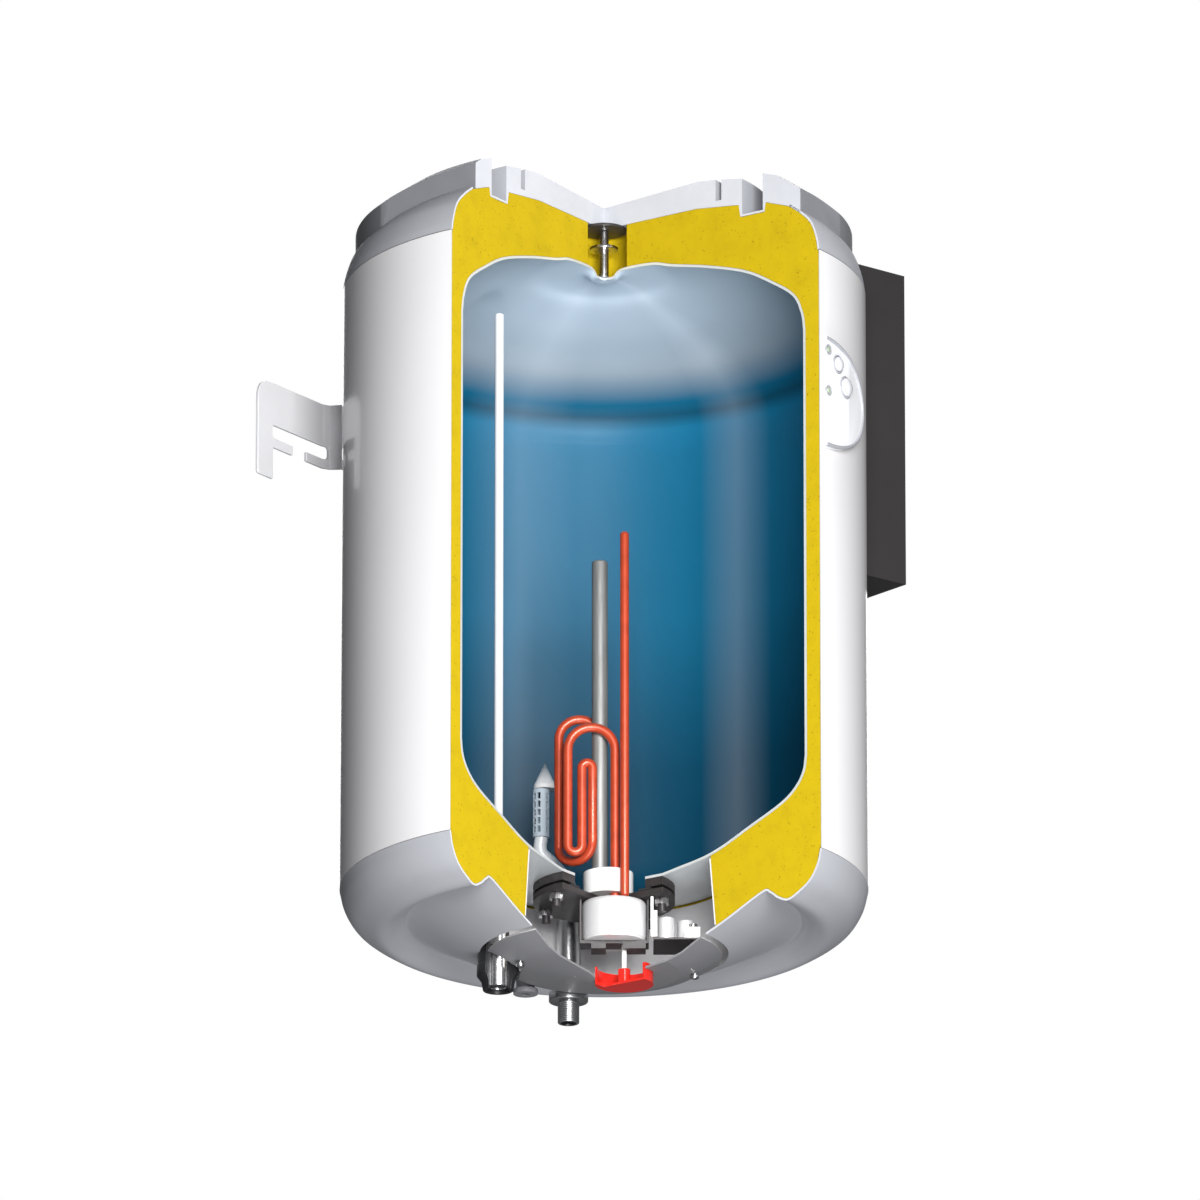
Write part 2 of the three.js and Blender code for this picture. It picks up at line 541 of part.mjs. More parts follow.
// ---- Water pipes ----
const nippleTop = TANK_BASE + 16;
const hotBase = NIPPLE_BASE + UNION_LIFT;
add('hot_nipple', pipe(NIPPLE_RADIUS, nippleBore, hotBase, nippleTop, ...pipePlaces.hot), 0xcfd0d2, 0.25, 1);
const hotTubeBase = nippleTop + GAP;
const hotTube = pipe(HOT_TUBE_RADIUS, HOT_TUBE_BORE, hotTubeBase, tankCrown - HOT_TUBE_TOP_GAP,
  ...pipePlaces.hot);
const hotCollar = pipe(NIPPLE_RADIUS - 1, HOT_TUBE_BORE, hotTubeBase, nippleTop + 5, ...pipePlaces.hot);
add('hot_outlet_tube', hotTube.add(hotCollar), 0xf2f4f6, 0.3, 0.2);
const coldFlange = pipe(NIPPLE_RADIUS + 8.5, nippleBore, -84, -74, ...pipePlaces.cold);
add('cold_nipple', pipe(NIPPLE_RADIUS, nippleBore, NIPPLE_BASE, nippleTop, ...pipePlaces.cold)
  .add(coldFlange), 0xdcdcde, 0.25, 1);
const unionTop = -64 + UNION_LIFT;
const unionBase = -108.5 + UNION_LIFT;
const union = revolve([
  [unionBore, unionTop], [unionBore, unionBase], [unionRadius - 6, unionBase],
  [unionRadius - 4.5, unionBase + 8.5], [unionRadius, unionBase + 14.5], [unionRadius, unionTop - 20],
  [unionRadius - 0.9, unionTop - 19], [unionRadius - 0.9, unionTop],
], 24);
const [hotX, hotY] = pipePlaces.hot;
const unionGeometry = geometryOf(union).translate(hotX, hotY, 0);
add('dielectric_union', solid(unionGeometry)
  .subtract(box(-reach, hotX, -reach, hotY, -reach, reach)), 0x1b1b1d, 0.45);

// The cold water turns aside at the base and leaves through a slotted cage.
const cagePlace = bundle(-60.5, -95);
const coldRiserRadius = 6.5;
const cageSeat = 80;
const [coldX, coldY] = pipePlaces.cold;
const [cageX, cageY] = cagePlace;
const coldCurve = new THREE.CatmullRomCurve3([
  new THREE.Vector3(coldX, coldY, nippleTop + GAP),
  new THREE.Vector3(coldX, coldY, nippleTop + 12),
  new THREE.Vector3((coldX + cageX) / 2, (coldY + cageY) / 2, nippleTop + 30),
  new THREE.Vector3(cageX, cageY, cageSeat - 14),
  new THREE.Vector3(cageX, cageY, cageSeat),
]);
add('cold_inlet_pipe', tubeAlong(coldCurve, coldRiserRadius, 16), 0xe6e8ea, 0.3, 0.3);
const cageBase = cageSeat + GAP;
const cageTop = 128;
const cageRadius = 8;
const cageWall = 1.5;
const slitRows = 5;
const slitWidth = 3;
const slitOffset = 2.5;
const slitPitch = (cageTop - cageBase - 6) / slitRows;
let cage = cylinder(cageRadius, cageBase, cageTop, ...cagePlace)
  .subtract(cylinder(cageRadius - cageWall, cageBase + 2, cageTop + 1, ...cagePlace));
for (let row = 0; row < slitRows; row += 1) {
  const z0 = cageBase + 4 + row * slitPitch;
  const z1 = z0 + slitPitch - 2;
  const slit = (halfX, halfY, y) => box(
    cageX - halfX, cageX + halfX, cageY + y - halfY, cageY + y + halfY, z0, z1);
  cage = cage.subtract(slit(reach, slitWidth / 2, slitOffset))
    .subtract(slit(reach, slitWidth / 2, -slitOffset))
    .subtract(slit(slitWidth / 2, reach, 0));
}
add('cold_diffuser_cage', cage, 0xc9d3db, 0.3, 0.4);
const hoodPlace = bundle(-57, -95);
const hoodRadius = cageRadius + 3;
const hoodBrim = 4;
const hoodHeight = 24;
const hoodCone = new THREE.ConeGeometry(hoodRadius, hoodHeight, SMALL_SEGMENTS).rotateX(Math.PI / 2)
  .translate(...hoodPlace, cageTop + hoodBrim + hoodHeight / 2 - 0.1);
add('diffuser_hood', cylinder(hoodRadius, cageTop + GAP, cageTop + hoodBrim, ...hoodPlace)
  .add(solid(hoodCone)), 0xe8ecef, 0.35, 0.1);

// ---- Stud from the tank's crown to the lid ----
const topStudRadius = 4.6;
const crownSeat = crownDip + TANK_WALL + GAP;
const lidSeat = CASING_HEIGHT + CAP_BODY_BASE;
const washerBase = lidSeat - 3;
const clipTop = lidSeat - 19.5;
add('top_stud', cylinder(topStudRadius, crownSeat, washerBase - GAP, 0, 0, 16), 0xb4b4b6, 0.3, 1);
add('top_washer', cylinder(22, washerBase, lidSeat - GAP, 0, 0, 24), 0x2c2a2b, 0.4, 0.6);
add('stud_clip', cylinder(14, clipTop - 2.5, clipTop, 0, 0, 24)
  .subtract(cylinder(topStudRadius + GAP, 0, reach * 2, 0, 0, 16)), 0x9d9d9f, 0.4, 0.8);

// ---- Supply cable gland in the service cover ----
const glandBore = 4;
const glandBase = pointAtRadius(coverLine, Math.hypot(...glandPlace))[1] - 12;
const glandRim = pipe(glandRadius + 3, glandBore, glandBase, glandBase + 5, ...glandPlace);
add('cable_gland', pipe(glandRadius, glandBore, glandBase, glandBase + 22, ...glandPlace)
  .add(glandRim), 0x555557, 0.5);

// ---- Wall bracket: a steel band that hugs the casing and turns out into two hooks ----
const bandInner = CASING_RADIUS + GAP;
const bandOuter = bandInner + BRACKET_SHEET;
const frontFace = wallPlane - BRACKET_SHEET;
const onCircle = (x, radius) => [x, Math.sqrt(radius * radius - x * x)];
const webSteps = [0.25, 0.5, 0.75];
const outlineInner = [
  ...webSteps.map((share) => onCircle(WEB_X * share, bandInner)), onCircle(WEB_X, bandInner),
  [WEB_X + 5, frontFace - 12], [ARM_X - 8, frontFace - 3], [ARM_X, frontFace],
  [ARM_X + SMALL_CORNER, frontFace],
];
const outlineOuter = [
  [ARM_X + SMALL_CORNER, wallPlane], [ARM_X - 2, wallPlane], [ARM_X - 10, wallPlane - 4],
  [WEB_X + 1.5, frontFace - 9], onCircle(WEB_X - 3, bandOuter),
  ...webSteps.map((share) => onCircle(WEB_X * share, bandOuter)).reverse(),
];
const mirrored = (points) => points.map(([x, y]) => [-x, y]).reverse();
const bandOutline = [
  [0, bandInner], ...outlineInner, ...outlineOuter, [0, bandOuter],
  ...mirrored(outlineOuter), ...mirrored(outlineInner),
];
// An upright outline, [across, up], pulled from y0 to y1 and turned over for the left side.
function upright(shape, y0, y1, side) {
  const geometry = new THREE.ExtrudeGeometry(shape, {
    depth: y1 - y0, bevelEnabled: false, curveSegments: 6,
  });
  return solid(geometry.rotateX(Math.PI / 2).translate(0, y1, 0).scale(side, 1, 1));
}
const bandTop = bracketBase + BRACKET_HEIGHT;
const footBottom = bracketBase - HOOK_FOOT_DROP;
const footInner = HOOK_OUTER - HOOK_FOOT_WIDTH;
const hook = new THREE.Shape();
hook.moveTo(ARM_X, bracketBase);
hook.lineTo(footInner, bracketBase);
hook.lineTo(footInner, footBottom);
hook.lineTo(HOOK_OUTER - SMALL_CORNER, footBottom);
hook.quadraticCurveTo(HOOK_OUTER, footBottom, HOOK_OUTER, footBottom + SMALL_CORNER);
hook.lineTo(HOOK_OUTER, bandTop - HOOK_CORNER);
hook.quadraticCurveTo(HOOK_OUTER, bandTop, HOOK_OUTER - HOOK_CORNER, bandTop);
hook.lineTo(ARM_X, bandTop);
const slotStart = SLOT_CENTRE - SLOT_WIDTH / 2;
const slotEnd = SLOT_CENTRE + SLOT_WIDTH / 2;
const slotFloor = bracketBase + SLOT_BASE;
const slotRoof = slotFloor + SLOT_HEIGHT;
const slot = new THREE.Shape();
slot.moveTo(slotStart + SMALL_CORNER, slotFloor);
slot.lineTo(SLOT_CENTRE - SLOT_MOUTH / 2, slotFloor);
slot.lineTo(SLOT_CENTRE - SLOT_MOUTH / 2, bracketBase - 1);
slot.lineTo(SLOT_CENTRE + SLOT_MOUTH / 2, bracketBase - 1);
slot.lineTo(SLOT_CENTRE + SLOT_MOUTH / 2, slotFloor);
slot.lineTo(slotEnd - SMALL_CORNER, slotFloor);
slot.quadraticCurveTo(slotEnd, slotFloor, slotEnd, slotFloor + SMALL_CORNER);
slot.lineTo(slotEnd, slotRoof - SMALL_CORNER);
slot.quadraticCurveTo(slotEnd, slotRoof, slotEnd - SMALL_CORNER, slotRoof);
slot.lineTo(slotStart + SMALL_CORNER, slotRoof);
slot.quadraticCurveTo(slotStart, slotRoof, slotStart, slotRoof - SMALL_CORNER);
slot.lineTo(slotStart, slotFloor + SMALL_CORNER);
slot.quadraticCurveTo(slotStart, slotFloor, slotStart + SMALL_CORNER, slotFloor);
const slotReach = 5;
let bracket = prism(bandOutline, bracketBase, bandTop);
for (const side of [-1, 1]) {
  bracket = bracket.add(upright(hook, frontFace, wallPlane, side))
    .subtract(upright(slot, frontFace - slotReach, wallPlane + slotReach, side));
}
add('wall_bracket', bracket, 0xe4e4e6, 0.35, 0.6);

// ---- Buffer that keeps the lower end off the wall ----
const bufferHalf = 30;
const bufferBase = 60;
const bufferHeight = 50;
add('wall_buffer', box(-bufferHalf, bufferHalf, CASING_RADIUS - 20, wallPlane,
  bufferBase, bufferBase + bufferHeight)
  .subtract(cylinder(bandInner, 0, CASING_HEIGHT, 0, 0, SEGMENTS)), 0x2f2f31, 0.7);

// ---- Control panel on the front, with two buttons and two lamps ----
const panelInner = CASING_RADIUS + GAP;
const panelOuter = panelInner + PANEL_THICKNESS;
const panelMargin = PANEL_HALF_HEIGHT + 10;
const oval = new THREE.Shape();
oval.absellipse(0, panelMiddle, PANEL_HALF_WIDTH, PANEL_HALF_HEIGHT, 0, 2 * Math.PI, false, 0);
const ovalBar = solid(new THREE.ExtrudeGeometry(oval, {
  depth: reach, bevelEnabled: false, curveSegments: 28,
}).rotateX(Math.PI / 2));
let panel = revolve([
  [panelInner, panelMiddle - panelMargin], [panelOuter, panelMiddle - panelMargin],
  [panelOuter, panelMiddle + panelMargin], [panelInner, panelMiddle + panelMargin],
]).intersect(ovalBar);
const domeShares = [[1, 0.3], [0.86, 0.68], [0.5, 0.94], [0, 1]];
const frontPieces = [
  { name: 'button_upper', x: 22.5, up: 32, radius: 7, dome: 4.5, color: 0xd8d8dc },
  { name: 'button_lower', x: 38, up: 13, radius: 9, dome: 5.5, color: 0xd8d8dc },
  { name: 'lamp_upper', x: 5, up: 42, radius: 3, dome: 1.2, color: 0xb9c4b0 },
  { name: 'lamp_lower', x: 5, up: 1, radius: 3, dome: 1.2, color: 0xb9c4b0 },
];
for (const { name, x, up, radius, dome: rise, color } of frontPieces) {
  const place = new THREE.Matrix4().makeRotationZ(Math.asin(x / panelOuter))
    .multiply(new THREE.Matrix4().makeTranslation(0, -panelOuter, panelMiddle + up))
    .multiply(new THREE.Matrix4().makeRotationX(Math.PI / 2));
  const hole = cylinder(radius + BUTTON_CLEARANCE, -reach / 4, reach / 4);
  panel = panel.subtract(solid(geometryOf(hole).applyMatrix4(place)));
  const cap = revolve([
    [0, -BUTTON_DEPTH], [radius, -BUTTON_DEPTH],
    ...domeShares.map(([share, height]) => [share * radius, height * rise]),
  ], SMALL_SEGMENTS);
  add(name, solid(geometryOf(cap).applyMatrix4(place)), color, 0.35);
}
add('control_panel', sectioned(panel), 0xf3f4f6, 0.35);

// ---- Side housing: a dark box with an open back that fits round the casing ----
function sideBox(x0, x1, half, z0, z1) {
  const geometry = new THREE.BoxGeometry(x1 - x0, 2 * half, z1 - z0);
  return solid(geometry.translate((x0 + x1) / 2, 0, (z0 + z1) / 2).rotateZ(BOX_ANGLE * degrees));
}
const boxFace = CASING_RADIUS + BOX_DEPTH;
const boxRoot = CASING_RADIUS - 40;
const boxBase = CASING_HEIGHT - BOX_DROP;
const boxTop = boxBase + BOX_HEIGHT;
const boxInside = boxFace - BOX_WALL;
const housing = sideBox(boxRoot, boxFace, BOX_HALF_WIDTH, boxBase, boxTop)
  .subtract(sideBox(boxRoot - 1, boxInside, BOX_HALF_WIDTH - BOX_WALL, boxBase + BOX_WALL,
    boxTop - BOX_WALL))
  .subtract(cylinder(panelInner, 0, reach * 2, 0, 0, SEGMENTS));
add('side_housing', housing, 0x383435, 0.55);
const boardThickness = 1.6;
const boardStart = boxInside - 12;
const boardMargin = 30;
const board = sideBox(boardStart, boardStart + boardThickness, BOX_HALF_WIDTH - 20,
  boxBase + boardMargin, boxTop - boardMargin);
add('control_board', board, 0x2e6b3a, 0.6);

heater.position.set(0, -wallPlane, -hookMiddle);
const assembly = new THREE.Group();
assembly.add(heater);

export default assembly;
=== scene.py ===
import math

import bmesh
import bpy
import numpy as np
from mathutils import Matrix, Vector


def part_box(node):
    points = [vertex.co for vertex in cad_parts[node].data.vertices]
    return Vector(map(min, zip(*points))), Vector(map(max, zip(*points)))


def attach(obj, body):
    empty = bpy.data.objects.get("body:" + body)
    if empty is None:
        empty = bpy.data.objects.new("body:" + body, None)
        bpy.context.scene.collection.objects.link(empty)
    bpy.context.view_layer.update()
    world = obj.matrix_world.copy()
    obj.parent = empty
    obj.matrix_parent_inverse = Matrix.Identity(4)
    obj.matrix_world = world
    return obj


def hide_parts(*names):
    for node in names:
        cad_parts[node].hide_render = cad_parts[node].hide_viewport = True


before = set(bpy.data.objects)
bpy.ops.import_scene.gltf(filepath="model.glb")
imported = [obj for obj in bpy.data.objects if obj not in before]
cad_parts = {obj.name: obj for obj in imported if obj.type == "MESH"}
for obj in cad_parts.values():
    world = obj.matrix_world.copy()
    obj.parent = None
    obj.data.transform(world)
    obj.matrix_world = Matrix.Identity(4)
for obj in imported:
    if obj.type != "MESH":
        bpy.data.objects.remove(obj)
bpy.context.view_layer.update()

bl_info = {
    "name": "Sectioned Water Heater",
    "version": (1, 0, 0),
    "blender": (4, 5, 0),
    "location": "3D View > Sidebar > Heater",
    "description": "Builds the finished surfaces of a wall-hung electric water heater with a quarter cut away",
    "category": "Add Mesh",
}

SHELL = "shell"
MM = 0.001

# The tank's axis and the casing's lower edge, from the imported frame.
CASING_LOW, CASING_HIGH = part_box("casing_mantle")
R = round((CASING_HIGH[0] - CASING_LOW[0]) / 2 / MM, 1)          # casing radius, mm
H = round((CASING_HIGH[2] - CASING_LOW[2]) / MM + 0.6, 1)        # casing height, mm
AXIS_Y = CASING_HIGH[1] - R * MM
BASE_Z = CASING_LOW[2] - 0.3 * MM

SKIN = 2.0                     # wall of the plastic caps, mm
GAP = 0.3                      # clearance between touching pieces, mm
TANK_INNER = R - 19.4          # inside radius of the tank, mm
TANK_WALL = 2.5
PANEL_MIDDLE = H - 143.0       # height of the control panel's middle, mm
TANK_BASE = 6.0
CROWN = H + 23.0               # inside of the tank's crown, mm
TURN = math.radians(-54.8)     # the line that the element's tubes stand along
THERMOSTAT_Y = -12.0
NIPPLE_RADIUS, NIPPLE_BORE = 10.5, 7.5
NIPPLE_TOP = 22.0
HOT_TUBE_RADIUS, HOT_TUBE_BORE = 4.3, 3.1
COLD_PIPE_RADIUS = 6.5


def centre_of(node):
    """Plan centre of a node's box, in millimetres about the tank's axis."""
    low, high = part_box(node)
    return (low[0] + high[0]) / 2 / MM, ((low[1] + high[1]) / 2 - AXIS_Y) / MM


def heights_of(node):
    """Lowest and highest point of a node, in millimetres above the casing's lower edge."""
    low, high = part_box(node)
    return (low[2] - BASE_Z) / MM, (high[2] - BASE_Z) / MM


# ---------------------------------------------------------------- settings

def colour(name, description, default):
    """A colour property with the usual range."""
    return bpy.props.FloatVectorProperty(
        name=name, description=description, default=default, size=3, min=0, max=1, subtype="COLOR"
    )


def length(name, description, default):
    """A length property in metres."""
    return bpy.props.FloatProperty(name=name, description=description, default=default, unit="LENGTH")


class HeaterColours(bpy.types.PropertyGroup):
    casing: colour("Casing", "Baked enamel of the casing", (0.80, 0.79, 0.80))
    cap: colour("Caps", "Moulded lid and lower cap", (0.40, 0.41, 0.44))
    cover: colour("Cover", "Service cover", (0.22, 0.22, 0.235))
    foam: colour("Foam", "Cut face of the insulation", (0.47, 0.335, 0.0))
    # Tank, deep and Tank, light are painted shade low down and a painted highlight in the crown, either side of the
    # middle enamel colour.
    tank_painted_shade: colour("Tank, deep", "Tank enamel low down", (0.0, 0.058, 0.115))
    tank_middle: colour("Tank, middle", "Tank enamel at half height", (0.004, 0.135, 0.255))
    tank_painted_highlight: colour("Tank, light", "Tank enamel in the crown", (0.60, 0.72, 0.83))
    element: colour("Element", "Heating element and pocket", (0.50, 0.062, 0.022))
    dial: colour("Dial", "Adjuster dial", (0.72, 0.02, 0.012))
    housing: colour("Side housing", "Dark side housing", (0.019, 0.017, 0.0175))


class HeaterSizes(bpy.types.PropertyGroup):
    tube_radius: length("Element tube", "Radius of the heating element's tube", 0.0045)
    anode_radius: length("Anode", "Radius of the anode rod", 0.0077)
    pocket_radius: length("Pocket", "Radius of the thermostat pocket", 0.0043)
    speckle: length("Foam speckle", "Spacing of the foam's open cells", 0.0032)
    camera_distance: length("Camera distance", "Camera to the middle of the object", 16.0)


def colours():
    return bpy.context.scene.heater_colours


def sizes():
    return bpy.context.scene.heater_sizes


# ---------------------------------------------------------------- materials

def shader_of(name, base, roughness, metallic=0.0, coat=0.0, specular=0.5):
    """A new material with its Principled shader; returns the material, its tree and the shader."""
    material = bpy.data.materials.new(name)
    material.use_nodes = True
    tree = material.node_tree
    shader = tree.nodes["Principled BSDF"]
    shader.inputs["Base Color"].default_value = (*base, 1)
    shader.inputs["Roughness"].default_value = roughness
    shader.inputs["Metallic"].default_value = metallic
    shader.inputs["Coat Weight"].default_value = coat
    shader.inputs["Coat Roughness"].default_value = 0.08
    shader.inputs["Specular IOR Level"].default_value = specular
    return material, tree, shader


def object_coordinates(tree, stretch=(1, 1, 1)):
    """Object coordinates through a Mapping node that stretches the pattern."""
    source = tree.nodes.new("ShaderNodeTexCoord")
    mapping = tree.nodes.new("ShaderNodeMapping")
    mapping.inputs["Scale"].default_value = stretch
    tree.links.new(source.outputs["Object"], mapping.inputs["Vector"])
    return mapping.outputs["Vector"]


def noise(tree, vector, scale, detail=3.0, roughness=0.5):
    node = tree.nodes.new("ShaderNodeTexNoise")
    node.inputs["Scale"].default_value = scale
    node.inputs["Detail"].default_value = detail
    node.inputs["Roughness"].default_value = roughness
    tree.links.new(vector, node.inputs["Vector"])
    return node.outputs["Fac"]


def ramp(tree, factor, stops):
    """A colour ramp of (position, colour) stops."""
    node = tree.nodes.new("ShaderNodeValToRGB")
    bar = node.color_ramp
    bar.elements[0].position, bar.elements[0].color = stops[0][0], (*stops[0][1], 1)
    bar.elements[1].position, bar.elements[1].color = stops[-1][0], (*stops[-1][1], 1)
    for position, value in stops[1:-1]:
        bar.elements.new(position).color = (*value, 1)
    tree.links.new(factor, node.inputs["Fac"])
    return node.outputs["Color"]


def spread(tree, factor, low, high):
    """A 0 to 1 value remapped to a range."""
    node = tree.nodes.new("ShaderNodeMapRange")
    node.inputs["To Min"].default_value = low
    node.inputs["To Max"].default_value = high
    tree.links.new(factor, node.inputs["Value"])
    return node.outputs["Result"]


def mixed(tree, kind, factor, first, second):
    """Two colours put together by a blend type."""
    node = tree.nodes.new("ShaderNodeMix")
    node.data_type = "RGBA"
    node.blend_type = kind
    node.inputs["Factor"].default_value = factor
    tree.links.new(first, node.inputs["A"])
    tree.links.new(second, node.inputs["B"])
    return node.outputs["Result"]


def bump(tree, shader, height, distance, strength=1.0):
    node = tree.nodes.new("ShaderNodeBump")
    node.inputs["Strength"].default_value = strength
    node.inputs["Distance"].default_value = distance
    tree.links.new(height, node.inputs["Height"])
    tree.links.new(node.outputs["Normal"], shader.inputs["Normal"])


def shade(value, factor):
    """A colour made lighter or darker."""
    return tuple(min(1.0, c * factor) for c in value)


def grained(name, base, roughness, metallic=0.0, coat=0.0, grain=900.0, depth=0.00004, variation=0.08,
            stretch=(1, 1, 1), cloud=14.0):
    """A finish with slow colour variation, and a fine grain in its roughness and bump."""
    material, tree, shader = shader_of(name, base, roughness, metallic, coat)
    vector = object_coordinates(tree, stretch)
    slow = noise(tree, object_coordinates(tree), cloud, 4.0, 0.6)
    tones = [(0.25, shade(base, 1 - variation)), (0.75, shade(base, 1 + variation * 0.6))]
    tree.links.new(ramp(tree, slow, tones), shader.inputs["Base Color"])
    fine = noise(tree, vector, grain, 2.0)
    tree.links.new(spread(tree, fine, roughness * 0.82, min(1.0, roughness * 1.2)), shader.inputs["Roughness"])
    bump(tree, shader, fine, depth)
    return material


def foam_material(base, spacing):
    """Cut rigid foam: fine open cells as dark specks, a few larger voids, and a matt, uneven face."""
    material, tree, shader = shader_of("foam_cut", base, 0.85, specular=0.25)
    vector = object_coordinates(tree)
    cells = tree.nodes.new("ShaderNodeTexVoronoi")
    cells.inputs["Scale"].default_value = 1 / spacing
    tree.links.new(vector, cells.inputs["Vector"])
    specks = ramp(tree, cells.outputs["Distance"], [(0.0, (0, 0, 0)), (0.14, (0.25,) * 3), (0.3, (1, 1, 1))])
    mask = ramp(tree, noise(tree, vector, 160, 2.0), [(0.5, (0, 0, 0)), (0.62, (1, 1, 1))])
    keep = tree.nodes.new("ShaderNodeMix")
    keep.data_type = "RGBA"
    tree.links.new(mask, keep.inputs["Factor"])
    keep.inputs["A"].default_value = (1, 1, 1, 1)
    tree.links.new(specks, keep.inputs["B"])
    cloud = ramp(tree, noise(tree, vector, 42, 5.0, 0.65), [
        (0.25, shade(base, 0.88)), (0.5, base), (0.8, shade(base, 1.07))])
    tree.links.new(mixed(tree, "MULTIPLY", 0.6, cloud, keep.outputs["Result"]), shader.inputs["Base Color"])
    bump(tree, shader, noise(tree, vector, 700, 4.0, 0.7), 0.0005, 0.5)
    return material


def tank_material(deep, middle, light):
    """Vitreous enamel, mid blue, with painted light on it: a painted highlight pales the crown, painted shade
    darkens it low down, a dark band marks the seam, and two upright painted reflection streaks run up the wall.
    """
    material, tree, shader = shader_of("tank_enamel", middle, 0.46, specular=0.22)
    separate = tree.nodes.new("ShaderNodeSeparateXYZ")
    tree.links.new(object_coordinates(tree), separate.inputs["Vector"])
    level = tree.nodes.new("ShaderNodeMapRange")
    level.inputs["From Min"].default_value = BASE_Z
    level.inputs["From Max"].default_value = BASE_Z + CROWN * MM
    tree.links.new(separate.outputs["Z"], level.inputs["Value"])
    # Painted light by height: the pale top stands for a highlight in the crown, the dark low stops for shade, a
    # little lighter right at the base; the dark band near 0.88 is the seam.
    tones = ramp(tree, level.outputs["Result"], [
        (0.0, shade(deep, 1.5)), (0.1, shade(deep, 0.7)), (0.3, shade(deep, 0.85)), (0.55, shade(middle, 0.8)),
        (0.82, shade(middle, 0.85)), (0.862, shade(middle, 0.95)), (0.882, shade(middle, 0.42)),
        (0.9, shade(middle, 0.8)), (0.935, shade(light, 0.5)), (1.0, light)])
    slow = ramp(tree, noise(tree, object_coordinates(tree), 7, 3.0), [(0.3, (0.9,) * 3), (0.7, (1.0,) * 3)])
    blend = mixed(tree, "MULTIPLY", 1.0, tones, slow)
    offset = tree.nodes.new("ShaderNodeMath")
    offset.operation = "SUBTRACT"
    offset.inputs[1].default_value = AXIS_Y
    tree.links.new(separate.outputs["Y"], offset.inputs[0])
    angle = tree.nodes.new("ShaderNodeMath")
    angle.operation = "ARCTAN2"
    tree.links.new(offset.outputs[0], angle.inputs[0])
    tree.links.new(separate.outputs["X"], angle.inputs[1])
    turn = tree.nodes.new("ShaderNodeMapRange")
    turn.inputs["From Min"].default_value = -math.pi / 2
    turn.inputs["From Max"].default_value = math.pi
    tree.links.new(angle.outputs[0], turn.inputs["Value"])
    # Two upright painted reflection streaks: light added to the enamel at two angles about the axis.
    painted_streaks = ramp(tree, turn.outputs["Result"], [
        (0.0, (0, 0, 0)), (0.30, (0, 0, 0)), (0.338, (0.13,) * 3), (0.375, (0, 0, 0)),
        (0.49, (0, 0, 0)), (0.54, (0.1,) * 3), (0.60, (0, 0, 0)), (1.0, (0, 0, 0))])
    upright = mixed(tree, "ADD", 0.62, blend, painted_streaks)
    tree.links.new(upright, shader.inputs["Base Color"])
    bump(tree, shader, noise(tree, object_coordinates(tree), 260, 2.0), 0.00006)
    return material


def rod_material(name, base, roughness, metallic):
    """A cast rod: pitted, with streaks along its length."""
    material, tree, shader = shader_of(name, base, roughness, metallic)
    vector = object_coordinates(tree, (1, 1, 0.08))
    streaks = noise(tree, vector, 320, 4.0)
    tree.links.new(ramp(tree, streaks, [(0.3, shade(base, 0.78)), (0.7, shade(base, 1.15))]),
                   shader.inputs["Base Color"])
    bump(tree, shader, noise(tree, object_coordinates(tree), 1100, 4.0, 0.7), 0.00012)
    return material


MATERIALS = {}


